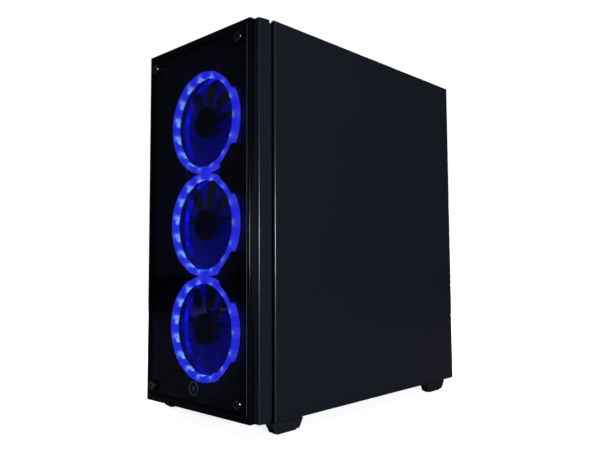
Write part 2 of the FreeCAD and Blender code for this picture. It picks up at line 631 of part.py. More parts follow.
def bezel_skirt():
    """Set-in rim at the back of the bezel that closes the gap to the side panels and the roof."""
    wall = 2.0
    inset = 5.0
    side = HALF - BEZEL_WALL + TRIM
    z = (PLINTH_LOW - BEZEL_SLOPE + BEZEL_WALL - TRIM, PLINTH_HIGH + BEZEL_SLOPE)
    flange = box((-side, side), (BEZEL_REAR_Y - wall, BEZEL_REAR_Y), (z[0], z[1] - TRIM))
    rim = box((inset - HALF, HALF - inset), (BEZEL_REAR_Y - wall, PANEL_FRONT_Y - GAP), z)
    inner_z = (z[0] + wall, z[1] - wall)
    inner = box((inset + wall - HALF, HALF - inset - wall), (BEZEL_REAR_Y - wall, PANEL_FRONT_Y), inner_z)
    return join([flange, rim]).cut(inner)


def sloped_block(half, low, high, front, rear):
    """A block whose top and bottom open out towards the back."""
    faces = []
    for y, spread in ((front, 0), (rear, BEZEL_SLOPE)):
        outline = [V(-half, y, low - spread), V(half, y, low - spread)]
        outline += [V(half, y, high + spread), V(-half, y, high + spread)]
        faces.append(Part.makePolygon(outline + [outline[0]]))
    return Part.makeLoft(faces, True, True)


def front_glass():
    """Dark glass front with four chrome screws and a small plain six-sided badge."""
    y = (GLASS_Y, GLASS_Y + GLASS)
    pane = rounded(around(0, FRONT_GLASS_WIDTH), y, (FRONT_GLASS_LOW, FRONT_GLASS_HIGH), "y", 1.5)
    pane = pane.makeChamfer(0.6, [edge for edge in pane.Edges if edge.BoundBox.YMax < GLASS_Y + 0.01])
    places = corners((-SCREW_X, SCREW_X), (SCREW_LOW, SCREW_HIGH))
    save("front_glass", pane.cut([rod((x, y[0], z), "y", 3.0, GLASS) for x, z in places]))
    screws = []
    for x, z in places:
        head = rod((x, GLASS_Y - SCREW_HEAD, z), "y", 5.75, SCREW_HEAD)
        front_edge = [edge for edge in head.Edges if edge.BoundBox.YMax < GLASS_Y - SCREW_HEAD + 0.01]
        head = head.makeFillet(1.4, front_edge)
        socket = Part.Face(hexagon((x, GLASS_Y - SCREW_HEAD, z), 2.3)).extrude(V(0, 2.5, 0))
        shank = rod((x, GLASS_Y, z), "y", 3.0, GLASS + 10)
        screws.append(join([head, shank]).cut(socket))
    save("glass_screws", *screws)
    badge_y = GLASS_Y - TRIM
    outer = Part.Face(hexagon((0, badge_y, 40.0), 9.0)).extrude(V(0, TRIM, 0))
    inner = Part.Face(hexagon((0, badge_y, 40.0), 7.4)).extrude(V(0, TRIM, 0))
    save("front_badge", outer.cut(inner), rod((0, badge_y, 40.0), "y", 2.6, TRIM))


def hexagon(centre, radius):
    """A six-sided outline in an upright plane that faces the front."""
    points = []
    for step in range(7):
        turn = math.pi * step / 3
        points.append(V(centre[0] + radius * math.cos(turn), centre[1], centre[2] + radius * math.sin(turn)))
    return Part.makePolygon(points)


def front_dust_filter():
    """Fine mesh sheet held in the raised frame, notched round the screw bosses."""
    x = around(0, FRONT_GLASS_WIDTH - 8)
    y = (GLASS_Y + 7.0, GLASS_Y + 7.8)
    sheet = box(x, y, (FRONT_GLASS_LOW + 4, FRONT_GLASS_HIGH - 4))
    places = corners((-SCREW_X, SCREW_X), (SCREW_LOW, SCREW_HIGH))
    save("front_dust_filter", sheet.cut([rod((a, y[0], b), "y", 6.0, 0.8) for a, b in places]))


def roof_filter():
    """Magnetic dust filter that lies on the roof vents: a rim with a mesh sheet in it."""
    width = 130.0
    length = 250.0
    rim = 6.0
    bar = 5.0
    middle = (ROOF_FANS_Y[0] + ROOF_FANS_Y[1]) / 2
    z = (ROOF_TOP + 0.1, ROOF_TOP + 1.4)
    x = around(0, width - 2 * rim)
    y = around(middle, length - 2 * rim)
    frame = rounded(around(0, width), around(middle, length), z, "z", 6).cut(rounded(x, y, z, "z", 4))
    mesh = rounded(x, y, (z[0] + 0.2, z[0] + 0.8), "z", 4)
    bars = [box(x, around(middle, bar), z), box(around(0, bar), y, z)]
    save("roof_filter", join([frame, mesh] + bars))


def floor_filter():
    """Dust filter under the power supply; it slides out at the back on its own grip."""
    z = (FLOOR_LOW - 2.6, FLOOR_LOW - GAP)
    y = (PSU_Y - 70, REAR_OUT_Y + 4)
    rim = 6.0
    inner_x = around(PSU_X, 2 * (FILTER_HALF - rim))
    inner_y = (y[0] + rim, y[1] - 14)
    frame = rounded(around(PSU_X, 2 * FILTER_HALF), y, z, "z", 4).cut(rounded(inner_x, inner_y, z, "z", 3))
    mesh = rounded(inner_x, inner_y, (z[0] + 0.6, z[0] + 1.3), "z", 3)
    grip = box(around(PSU_X, 50), (y[1] - 4, y[1]), (z[0] - 3, z[0]))
    save("floor_filter", join([frame, mesh, grip]))


# ---------------------------------------------------------------- buttons and front sockets
def io_panel():
    """Strip on the roof with two buttons, three sockets and two audio jacks, over their board."""
    z = (ROOF_TOP, PANEL_TOP)
    strip = rounded(around(0, 130), around(IO_Y, 27), z, "z", 5)
    holes = [rod((POWER_X, IO_Y, z[0]), "z", 7.3, 2), rod((RESET_X, IO_Y, z[0]), "z", 3.8, 2)]
    holes += [box(around(x, 14.4), around(IO_Y, 7.0), z) for x in USB_XS]
    holes += [rod((x, IO_Y, z[0]), "z", 3.6, 2) for x in JACK_XS]
    legs = [box(around(x, 4), around(IO_Y, 10), (IO_BOARD_TOP, ROOF_TOP)) for x in (-59.5, 59.5)]
    save("io_panel", join([strip.cut(holes)] + legs))
    board = rounded(around(0, 122), around(IO_Y, 22), (IO_BOARD_TOP - BOARD_THICK, IO_BOARD_TOP), "z", 2)
    switches = [box(around(x, 6), around(IO_Y, 6), (IO_BOARD_TOP, SWITCH_TOP))
                for x in (POWER_X, RESET_X)]
    save("io_board", join([board] + switches))
    sockets = []
    for x in USB_XS:
        can = box(around(x, 14.4), around(IO_Y, 7.0), (IO_BOARD_TOP, CAP_TOP))
        mouth = box(around(x, 13.2), around(IO_Y, 5.8), (IO_BOARD_TOP + 2, CAP_TOP))
        tongue = box(around(x, 11.6), around(IO_Y - 1.4, 1.8), (IO_BOARD_TOP + 2, CAP_TOP - 1.5))
        sockets.append(join([can.cut(mouth), tongue]))
    save("usb_sockets", *sockets)
    jacks = [tube((x, IO_Y, IO_BOARD_TOP), "z", 3.6, 1.8, CAP_TOP - IO_BOARD_TOP) for x in JACK_XS]
    save("audio_jacks", *jacks)


def button(x, radius, stem):
    """Push button: a rounded cap on a stem that reaches down to its switch."""
    cap = rod((x, IO_Y, CAP_TOP - 5), "z", radius, 5)
    cap = cap.makeFillet(0.8, [edge for edge in cap.Edges if edge.BoundBox.ZMin > CAP_TOP - 0.01])
    lower = SWITCH_TOP + BUTTON_TRAVEL + GAP
    return join([cap, rod((x, IO_Y, lower), "z", stem, CAP_TOP - 5 - lower)])


# ---------------------------------------------------------------- main board and what sits on it
def on_board(y, z, height):
    """A block that stands on the main board's face."""
    return box((BOARD_X - height, BOARD_X), y, z)


def main_board():
    """Main board, its sockets and slots, memory, heat sinks and rear ports."""
    pcb = box((BOARD_X, BOARD_BACK_X), (BOARD_FRONT_Y, BOARD_REAR_Y), (BOARD_LOW, BOARD_HIGH))
    pit = on_board(around(CPU_Y, 40), around(CPU_Z, 42), 5)
    socket = on_board(around(CPU_Y, 52), around(CPU_Z, 60), 5).cut(pit)
    package = on_board(around(CPU_Y, 37.5), around(CPU_Z, 37.5), 4.5)
    save("motherboard", join([pcb, socket, package]))

    sockets = []
    for y in DIMM_Y:
        slot = on_board(around(y, 6.5), DIMM_Z, 8).cut(
            box((BOARD_X - 8, BOARD_X - 3), around(y, 1.8), (DIMM_Z[0] + 3, DIMM_Z[1] - 3)))
        sockets.append(slot)
    for number in (0, 2, 4):
        z = CARD_TOP - BOARD_THICK / 2 - number * SLOT_PITCH
        y = (BOARD_REAR_Y - 150, BOARD_REAR_Y - 60)
        groove = box((BOARD_X - 11, BOARD_X - 3), (y[0] + 2, y[1] - 2), around(z, 2.0))
        sockets.append(on_board(y, around(z, 7.5), 11).cut(groove))
    sockets.append(on_board((BOARD_FRONT_Y + 2, BOARD_FRONT_Y + 11), (274, 326), 12))
    sockets.append(on_board((BOARD_FRONT_Y + 2, BOARD_FRONT_Y + 20), (160, 190), 9))
    sockets.append(on_board((BOARD_REAR_Y - 62, BOARD_REAR_Y - 44), (BOARD_HIGH - 12, BOARD_HIGH - 2), 13))
    save("board_sockets", *sockets)

    sticks = []
    for y in (DIMM_Y[0], DIMM_Y[2]):
        blade = box((BOARD_X - 12, BOARD_X - 3), around(y, 1.2), (DIMM_Z[0] + 3.5, DIMM_Z[1] - 3.5))
        x = (BOARD_X - 40, BOARD_X - 8)
        sticks.append(join([blade, rounded(x, around(y, 6.4), (DIMM_Z[0] + 2, DIMM_Z[1] - 2), "y", 2)]))
    save("memory_modules", *sticks)

    sinks = [finned(around(BOARD_REAR_Y - 46.5, 19), (CPU_Z - 45, CPU_Z + 38), 26)]
    sinks.append(finned((CPU_Y - 44, CPU_Y + 30), (BOARD_HIGH - 28, BOARD_HIGH - 12), 24))
    sinks.append(on_board((BOARD_FRONT_Y + 30, BOARD_FRONT_Y + 78), (150, 196), 7))
    save("board_heatsinks", *sinks)

    ports = []
    port_y = (REAR_IN_Y - 17, REAR_OUT_Y + 0.6)
    for low, height, depth in PORTS:
        can = box((BOARD_X - depth, BOARD_X - 1), port_y, (low, low + height))
        ports.append(can.cut(port_mouths(low, height, depth, port_y[1])))
    save("rear_ports", *ports)
    plate = box((BOARD_X - 43.6, BOARD_X - 0.4), (REAR_IN_Y + 0.1, REAR_IN_Y + 0.9),
                (SHIELD_Z[0] + 0.4, SHIELD_Z[1] - 0.4))
    holes = []
    for low, height, depth in PORTS:
        x = (BOARD_X - depth - GAP, BOARD_X - 1 + GAP)
        holes.append(box(x, (REAR_IN_Y, REAR_OUT_Y), (low - GAP, low + height + GAP)))
    save("io_shield", plate.cut(holes))


def port_mouths(low, height, depth, face):
    """Openings in a rear port, one for each 16 mm of its depth from the board."""
    count = max(1, int(depth // 15))
    share = (depth - 1) / count
    mouths = []
    for step in range(count):
        x = BOARD_X - 1 - share * (step + 0.5)
        mouths.append(box(around(x, share - 3), (face - 9, face), (low + 1.5, low + height - 1.5)))
    return mouths


def finned(y, z, height):
    """Block heat sink with cuts along its length."""
    body = on_board(y, z, height)
    cuts = []
    long_y = y[1] - y[0] > z[1] - z[0]
    span = z if long_y else y
    count = 3
    pitch = (span[1] - span[0]) / (count + 1)
    for step in range(count):
        place = around(span[0] + pitch * (step + 1), 2.2)
        if long_y:
            cuts.append(box((BOARD_X - height, BOARD_X - 6), y, place))
        else:
            cuts.append(box((BOARD_X - height, BOARD_X - 6), place, z))
    return body.cut(cuts)


def cpu_cooler():
    """Tower cooler: a fin stack on four bent heat pipes, with a fan on its front."""
    tall = 118.0
    edge = 2.0
    fin = 1.0
    pitch = 4.4
    first = TOWER_X[0] + 1.2
    stack = box(TOWER_X, TOWER_Y, around(CPU_Z, tall))
    pipe_y = [TOWER_Y[0] + 12 + 12 * step for step in range(3)]
    cuts = []
    for step in range(24):
        x = (first + pitch * step, first + pitch * (step + 1) - fin)
        for y in ((TOWER_Y[0], CPU_Y + 9), (CPU_Y + 11, TOWER_Y[1])):
            cuts.append(box(x, y, around(CPU_Z, tall - 2 * edge)))
    reach = 38.0
    pipe_r = 3.0
    top = TOWER_X[0] - 3
    for y in pipe_y:
        for side in (-1, 1):
            cuts.append(rod((TOWER_X[0] - 1, y, CPU_Z + side * reach), "x", pipe_r + 0.1, 112))
    save("cooler_fins", stack.cut(cuts))
    base_x = BOARD_X - 14.5
    pieces = [box((base_x, BOARD_X - 4.5), around(CPU_Y, 38), around(CPU_Z, 38))]
    pieces.append(box((base_x, BOARD_X - 5.5), (CPU_Y - 19, pipe_y[-1] + 4), around(CPU_Z, 38)))
    for y in pipe_y:
        path = [(top, y, CPU_Z - reach), (base_x + 3.2, y, CPU_Z - reach)]
        path += [(base_x + 3.2, y, CPU_Z + reach), (top, y, CPU_Z + reach)]
        pieces.append(bent_rod(path, pipe_r, 12.0))
    save("cooler_heatpipes", join(pieces))
    middle = (TOWER_X[0] + TOWER_X[1]) / 2 + 3
    front = (middle, TOWER_Y[0] - FAN_DEPTH - 0.5, CPU_Z)
    save("cpu_fan_frame", stood(fan_frame(0, FAN_EAR), front, AXES["y"]))
    save("cpu_fan_rotor", stood(fan_rotor(), front, AXES["y"]))


def graphics_card():
    """Two-slot graphics card: board in the top slot, a cover with two fans below it, and its bracket."""
    y = (CARD_FRONT_Y, BOARD_REAR_Y - 1)
    z = (CARD_TOP - BOARD_THICK, CARD_TOP)
    board = box((CARD_LEFT + 2, 62.5), y, z)
    tab = box((62.5, BOARD_X - 4), (BOARD_REAR_Y - 146, BOARD_REAR_Y - 64), z)
    save("graphics_board", join([board, tab]))

    cover_x = (CARD_LEFT, 60.0)
    middle = (cover_x[0] + cover_x[1]) / 2
    low, high = CARD_SHROUD
    body = rounded(cover_x, (y[0] - 2, y[1] - 1), (low, high), "z", 5)
    inside = rounded((cover_x[0] + 2, cover_x[1] - 2), (y[0], y[1] - 3), (low + 2, high), "z", 3)
    shelf = 2.0
    support = box((cover_x[0] + 1, cover_x[1] - 1), (y[0] - 1, y[1] - 2), (low + 20, low + 20 + shelf))
    pins = [rod((middle, fan_y, low + 4), "z", SPINDLE_R, 17) for fan_y in CARD_FANS_Y]
    mouths = [rod((middle, fan_y, low), "z", 45, 2) for fan_y in CARD_FANS_Y]
    save("graphics_cover", join([body.cut([inside] + mouths), support] + pins))
    wheel = rotor(43.0, 16.0, 16.5, 11, 4, 13.5, 15.5)
    for place, fan_y in zip(("front", "rear"), CARD_FANS_Y):
        save(f"graphics_rotor_{place}", stood(wheel, (middle, fan_y, low + 2.5), AXES["z"]))

    plate_y = (REAR_IN_Y - SHEET, REAR_IN_Y)
    plate = box((CARD_LEFT + 6, BOARD_X - 1), plate_y, (slot_low(1) - 2, slot_low(0) + 16))
    cuts = []
    for step in range(3):
        cuts.append(box(around(BOARD_X - 24 - 26 * step, 18), plate_y, (slot_low(0) + 1, slot_low(0) + 10)))
    for step in range(6):
        cuts.append(box(around(BOARD_X - 16 - 13 * step, 8), plate_y, (slot_low(1) + 1, slot_low(1) + 12)))
    save("graphics_bracket", plate.cut(cuts))
    covers = []
    for number in range(2, 7):
        low = slot_low(number)
        cover = box((CARD_LEFT + 12, BOARD_X - 1), plate_y, (low - 1.5, low + 15.5))
        vents = [box(around(BOARD_X - 12 - 10 * step, 5), plate_y, (low + 3, low + 11)) for step in range(9)]
        covers.append(cover.cut(vents))
    save("slot_covers", *covers)


# ---------------------------------------------------------------- power supply
def power_supply():
    """Folded steel base and cover with a fan in the base, a mains inlet and a rocker switch."""
    y = (REAR_IN_Y - PSU_LENGTH, REAR_IN_Y)
    z = (PSU_LOW, PSU_LOW + PSU_HEIGHT)
    inner_x = around(PSU_X, PSU_WIDTH - 2 * SHEET)
    cover = box(around(PSU_X, PSU_WIDTH), y, z)
    top_edges = [edge for edge in edges_along(cover, "y") if edge.BoundBox.ZMin > z[1] - 0.01]
    cover = cover.makeFillet(1.5, top_edges)
    cover = cover.cut(box(inner_x, y, (z[0], z[1] - SHEET)))
    base = box(inner_x, y, (z[0], z[1] - SHEET))
    cuts = [box(inner_x, (y[0] + SHEET, y[1] - SHEET), (z[0] + SHEET, z[1]))]
    cuts.append(rod((PSU_X, PSU_Y, z[0]), "z", FAN_BORE + 1, SHEET))
    back = (y[1] - SHEET, y[1])
    cuts.append(box(around(INLET_X, 28), back, around(INLET_Z, 21)))
    cuts.append(box(around(SWITCH_X, 17), back, around(INLET_Z, 24)))
    cuts += vent_grid(PSU_X - 55, 62, 11, 4, back)
    cuts += vent_grid(PSU_X + 11, 28, 5, 3, back)
    cuts.append(rod((PSU_HOLE[0], y[0], PSU_HOLE[1]), "y", 13, SHEET))
    cuts += [rod((a, back[0], b), "y", SCREW_R, SHEET) for a, b in psu_screw_places()]
    grille = [tube((PSU_X, PSU_Y, z[0]), "z", r + 1, r - 1, SHEET) for r in (30, 39, 48)]
    grille.append(rod((PSU_X, PSU_Y, z[0]), "z", 20, SHEET))
    for turn in (45, 135):
        bar = box(around(0, 2 * FAN_BORE + 4), around(0, 3), (z[0], z[0] + SHEET))
        bar.rotate(V(0, 0, 0), AXES["z"], turn)
        grille.append(moved(bar, PSU_X, PSU_Y))
    pin = rod((PSU_X, PSU_Y, z[0] + SHEET), "z", SPINDLE_R, 13)
    pads = [box(around(PSU_X + sx * 66, 12), around(PSU_Y + sy * 60, 14), (FLOOR_TOP, z[0]))
            for sx in (-1, 1) for sy in (-1, 1)]
    save("power_supply_case", join([base.cut(cuts), pin] + grille + pads), cover)
    wheel = rotor(BLADE_TIP, 20.0, 16.0, 7, 3, 13, 13.5)
    wheel.rotate(V(0, 0, 0), AXES["x"], 180)
    save("power_supply_rotor", moved(wheel, PSU_X, PSU_Y, z[0] + SHEET + 0.5 + 16.0))

    face = (REAR_IN_Y, REAR_IN_Y + 2.0)
    body_y = (REAR_IN_Y - 18, REAR_IN_Y)
    flange = rounded(around(INLET_X, 31), face, around(INLET_Z, 24), "y", 2)
    barrel = box(around(INLET_X, 27.4), body_y, around(INLET_Z, 20.4))
    well = box(around(INLET_X, 24.2), (REAR_IN_Y - 15, face[1]), around(INLET_Z, 16.4))
    pins = [box(around(INLET_X + dx, 2), (REAR_IN_Y - 15, REAR_IN_Y - 3), around(INLET_Z + dz, 4))
            for dx, dz in ((-7, -2), (0, 2), (7, -2))]
    inlet = join([join([flange, barrel]).cut(well)] + pins)
    frame = rounded(around(SWITCH_X, 19.5), face, around(INLET_Z, 26.5), "y", 1.5)
    sleeve = box(around(SWITCH_X, 16.6), (REAR_IN_Y - 12, REAR_IN_Y), around(INLET_Z, 23.4))
    mouth_z = around(INLET_Z, ROCKER[1] + 1.4)
    mouth = box(around(SWITCH_X, ROCKER[0] + 2 * GAP), (REAR_IN_Y - 10.5, face[1]), mouth_z)
    bore = rod((SWITCH_X - 8.3, ROCKER_Y, INLET_Z), "x", 1.05, 16.6)
    save("power_inlet", inlet, join([frame, sleeve]).cut([mouth, bore]))
    save("power_switch", rocker())


def vent_grid(x, z, columns, rows, y):
    """Oblong vents in columns and rows; x and z are the middle of the first one."""
    pitch_x = 11.0
    pitch_z = 9.5
    vents = []
    for row in range(rows):
        for column in range(columns):
            vents.append(box(around(x + pitch_x * column, 7.5), y, around(z + pitch_z * row, 6)))
    return vents


def rocker():
    """Mains rocker: a shallow V face on a cross pin, resting tilted to one side."""
    half = ROCKER[1] / 2
    face = REAR_IN_Y + 2.4
    outline = [(face, -half), (face - 1.2, 0), (face, half), (ROCKER_Y - 1.5, half), (ROCKER_Y - 4, 0)]
    outline.append((ROCKER_Y - 1.5, -half))
    x = SWITCH_X - ROCKER[0] / 2
    points = [V(x, a, INLET_Z + b) for a, b in outline]
    body = Part.Face(Part.makePolygon(points + [points[0]])).extrude(V(ROCKER[0], 0, 0))
    pin = rod((SWITCH_X - 8.0, ROCKER_Y, INLET_Z), "x", 1.0, 16.0)
    body = join([body, pin])
    body.rotate(V(SWITCH_X, ROCKER_Y, INLET_Z), AXES["x"], ROCKER_TILT)
    return body


# ---------------------------------------------------------------- cables and fasteners
def cables():
    """Main board cable and graphics cable, led from the power supply through the shroud."""
    psu_front = REAR_IN_Y - PSU_LENGTH
    plug_y = BOARD_FRONT_Y + 6.5
    low = PSU_LOW + 74
    down = low + 54
    board_route = [(BOARD_X - 12, plug_y, 300), (20, plug_y, 300), (22, CABLE_Y, 248), (38, CABLE_Y, down)]
    board_route += [(38, CABLE_Y, low), (PSU_HOLE[0] + 6, psu_front, PSU_HOLE[1])]
    save("board_cable", bent_rod(board_route, 4.5))
    plug = (CARD_LEFT, CARD_FRONT_Y + 30, CARD_SHROUD[1] - 12)
    aside = CARD_LEFT - 30
    card_route = [plug, (aside, plug[1], plug[2]), (aside, plug[1] - 14, plug[2] - 44)]
    card_route += [(CARD_LEFT - 8, CABLE_Y - 4, 170), (18, CABLE_Y, down - 2), (18, CABLE_Y, low)]
    card_route += [(PSU_HOLE[0] - 6, psu_front, PSU_HOLE[1])]
    save("graphics_cable", bent_rod(card_route, 3.5))


def screw(seat, axis_direction):
    """Pan head screw on its seat; the shank runs against the given direction."""
    head = rod((0, 0, 0), "z", 3.4, 1.8)
    head = head.makeFillet(0.9, [edge for edge in head.Edges if edge.BoundBox.ZMin > 1.79])
    cross = [box(around(0, 3.6), around(0, 0.8), (0.9, 2)), box(around(0, 0.8), around(0, 3.6), (0.9, 2))]
    return stood(join([head.cut(cross), rod((0, 0, -5), "z", SCREW_R, 5)]), seat, axis_direction)


def case_screws():
    """Screws of the power supply, the exhaust fan and the front fans."""
    places = []
    for x, z in psu_screw_places() + fan_corners(*REAR_FAN):
        places.append(screw((x, REAR_OUT_Y, z), AXES["y"]))
    for middle in FAN_CENTRES_Z:
        for x, z in fan_corners(0, middle):
            places.append(screw((x, FRONT_SHEET_Y + SHEET, z), AXES["y"]))
    save("case_screws", *places)


def main():
    os.makedirs("parts", exist_ok=True)
    chassis_floor()
    chassis_front()
    chassis_roof()
    chassis_rear()
    motherboard_tray()
    psu_shroud()
    drives()
    feet()
    front_fans()
    rear_fan()
    right_panel()
    side_glass()
    front_bezel()
    front_glass()
    front_dust_filter()
    roof_filter()
    floor_filter()
    io_panel()
    save("power_button", button(POWER_X, 7.0, 2.0))
    save("reset_button", button(RESET_X, 3.5, 1.5))
    main_board()
    cpu_cooler()
    graphics_card()
    power_supply()
    cables()
    case_screws()


main()
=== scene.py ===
import json
import math
import random

import bmesh
import bpy
from mathutils import Matrix, Vector
from mathutils.bvhtree import BVHTree


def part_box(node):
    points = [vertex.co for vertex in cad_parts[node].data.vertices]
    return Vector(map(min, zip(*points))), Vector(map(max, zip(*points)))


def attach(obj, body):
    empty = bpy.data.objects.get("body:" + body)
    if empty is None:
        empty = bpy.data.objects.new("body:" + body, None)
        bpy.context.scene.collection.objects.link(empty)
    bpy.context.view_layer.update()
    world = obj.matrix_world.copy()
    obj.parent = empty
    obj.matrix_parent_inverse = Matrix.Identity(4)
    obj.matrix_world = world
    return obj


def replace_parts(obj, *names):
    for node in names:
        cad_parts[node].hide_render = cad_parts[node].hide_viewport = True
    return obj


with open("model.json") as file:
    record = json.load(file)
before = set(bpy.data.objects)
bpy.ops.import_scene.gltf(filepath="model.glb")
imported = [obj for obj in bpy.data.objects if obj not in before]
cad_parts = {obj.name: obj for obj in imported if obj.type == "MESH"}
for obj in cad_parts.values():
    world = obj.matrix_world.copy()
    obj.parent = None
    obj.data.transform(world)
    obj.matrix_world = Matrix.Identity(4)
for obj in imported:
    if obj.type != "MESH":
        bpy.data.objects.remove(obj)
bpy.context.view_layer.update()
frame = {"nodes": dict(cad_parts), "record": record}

NODES = frame["nodes"]
MM = 0.001

# ------------ places taken from the frame
RING_LOW, RING_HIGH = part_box("front_light_rings")
RING_R = (RING_HIGH.x - RING_LOW.x) / 2
FAN_PITCH = ((RING_HIGH.z - RING_LOW.z) - 2 * RING_R) / 2
RING_CENTRES = [RING_LOW.z + RING_R + FAN_PITCH * step for step in range(3)]

# ------------ sizes in millimetres
HUB_R = 18.5
BLADE_TIP_R = 55
MOUTH_R = 57.4          # just past the wall of a fan's mouth
LAMPS = 15              # lamps round one light ring
LENS_R = (52.5, 53.2)
# Radii of the glowing arcs that paint the ring lamps' reflection on the fan bore.
REFLECTION_ARC_R = (56.2, 57.05)
BOARD_THICK = 1.6
FILTER_CELL = (2.7, 4.1)
REAR_PORTS = ((274, 14, 15), (312, 16, 32), (332, 16, 32), (352, 32, 22), (388, 14, 15))   # z, height, width

# ------------ camera and stage
CAMERA_PLACE = (0.5709, -0.6260, 0.1754)
CAMERA_YAW = math.radians(-43.5)
CAMERA_PITCH = math.radians(3.93)
CAMERA_ROLL = math.radians(-0.28)
CAMERA_LENS = 36.9

# Looks of the nodes that differ from their slot's, and every material by name.
OWN_LOOKS = {"front_fan_frame_lower": "lit_frame", "front_fan_frame_middle": "lit_frame",
             "front_fan_frame_upper": "lit_frame", "io_board": "flat_board", "graphics_board": "flat_board",
             "rear_fan_rotor": "dark_rotor", "cpu_fan_rotor": "dark_rotor", "glass_screws": "dark_chrome"}
LOOKS = {}


def link(obj):
    bpy.context.scene.collection.objects.link(obj)
    return obj


def make_camera():
    """The reference view: front right corner, from just under half the tower's height."""
    yaw, pitch, roll = CAMERA_YAW, CAMERA_PITCH, CAMERA_ROLL
    ahead = Vector((math.sin(yaw) * math.cos(pitch), math.cos(yaw) * math.cos(pitch), math.sin(pitch)))
    level = Vector((math.cos(yaw), -math.sin(yaw), 0))
    above = level.cross(ahead)
    right = level * math.cos(roll) + above * math.sin(roll)
    up = above * math.cos(roll) - level * math.sin(roll)
    data = bpy.data.cameras.new("camera")
    data.lens = CAMERA_LENS
    camera = link(bpy.data.objects.new("camera", data))
    camera.matrix_world = Matrix.Translation(CAMERA_PLACE) @ Matrix((right, up, -ahead)).transposed().to_4x4()
    bpy.context.scene.camera = camera


def softbox(name, place, size, power, colour=(1, 1, 1), mirrored=True):
    """A rectangular studio light that faces the tower; a mirrored one shows in glossy surfaces."""
    target = (0, 0, 0.22)
    data = bpy.data.lights.new(name, "AREA")
    data.shape = "RECTANGLE"
    data.size, data.size_y = size
    data.energy = power
    data.color = colour
    light = link(bpy.data.objects.new(name, data))
    light.location = place
    light.rotation_euler = (Vector(target) - Vector(place)).to_track_quat("-Z", "Y").to_euler()
    light.visible_camera = False
    light.visible_transmission = False
    light.visible_glossy = mirrored


def around_tower(azimuth, distance, height):
    """A point at an azimuth counted from straight in front, towards the right-hand side."""
    turn = math.radians(azimuth)
    return (distance * math.sin(turn), -distance * math.cos(turn), height)


def camera_only(tree, others, seen, output):
    """Shows one shader to the camera, and another to every other ray."""
    path = tree.nodes.new("ShaderNodeLightPath")
    mix = tree.nodes.new("ShaderNodeMixShader")
    tree.links.new(path.outputs["Is Camera Ray"], mix.inputs[0])
    tree.links.new(others.outputs[0], mix.inputs[1])
    tree.links.new(seen.outputs[0], mix.inputs[2])
    tree.links.new(mix.outputs[0], tree.nodes[output].inputs["Surface"])


def make_lights():
    """Soft studio lights, and the glow that the front fans throw into the case."""
    cool = (0.86, 0.92, 1.0)
    softbox("key", around_tower(62, 1.75, 0.29), (0.26, 0.17), 22, cool)
    softbox("fan_glow", (0.0, -0.135, 0.25), (0.10, 0.30), 1.2, (0.02, 0.02, 1.0), False)
    softbox("rim", around_tower(196, 1.6, 0.24), (0.30, 0.40), 22, cool)
    softbox("overhead", (0.0, 0.1, 1.9), (1.6, 1.6), 10, cool, False)
    softbox("left_fill", around_tower(-100, 1.7, 0.55), (1.1, 0.9), 34, (1, 1, 1), False)
    softbox("back_fill", around_tower(-160, 1.8, 0.9), (1.0, 0.9), 16, (1, 1, 1))
    softbox("right_fill", around_tower(86, 2.4, 0.10), (1.2, 0.7), 15, cool, False)


def make_world():
    """Surroundings: white for the camera, and dim for every other ray."""
    world = bpy.data.worlds.new("studio")
    bpy.context.scene.world = world
    world.use_nodes = True
    tree = world.node_tree
    dim = tree.nodes["Background"]
    seen = tree.nodes.new("ShaderNodeBackground")
    for shader, colour, strength in ((dim, (0.80, 0.86, 1.0, 1), 0.03), (seen, (1, 1, 1, 1), 1.02)):
        shader.inputs["Color"].default_value = colour
        shader.inputs["Strength"].default_value = strength
    camera_only(tree, dim, seen, "World Output")


def make_floor():
    """Pale floor for the camera, and dark for every other ray, so that it doesn't light the tower. Its glow
    dims towards the tower, painting a broad soft shade round it.
    """
    half = 12.0
    mesh = bpy.data.meshes.new("floor")
    corners = [(-half, -half, 0), (half, -half, 0), (half, half, 0), (-half, half, 0)]
    mesh.from_pydata(corners, [], [(0, 1, 2, 3)])
    floor = link(bpy.data.objects.new("floor", mesh))
    floor.location.z = -0.0003
    paint = Paint("pale_floor", (0.05, 0.05, 0.053), 0.9, Specular_IOR_Level=0.1)
    pale = paint.node("ShaderNodeBsdfDiffuse", (0.75, 0.75, 0.75, 1))
    away = paint.node("ShaderNodeVectorMath", paint.place, operation="LENGTH").outputs["Value"]
    # Painted shade: the floor's glow falls from 1.0 far off to 0.86 near the tower.
    glow = paint.node("ShaderNodeEmission", None, paint.ramp(away, 0.25, 1.1, 0.86, 1.0))
    both = paint.node("ShaderNodeAddShader", pale.outputs[0], glow.outputs[0])
    camera_only(paint.tree, paint.bsdf, both, "Material Output")
    mesh.materials.append(paint.mat)


def make_stage():
    make_lights()
    make_world()
    make_floor()
    bpy.context.scene.view_settings.view_transform = "Standard"


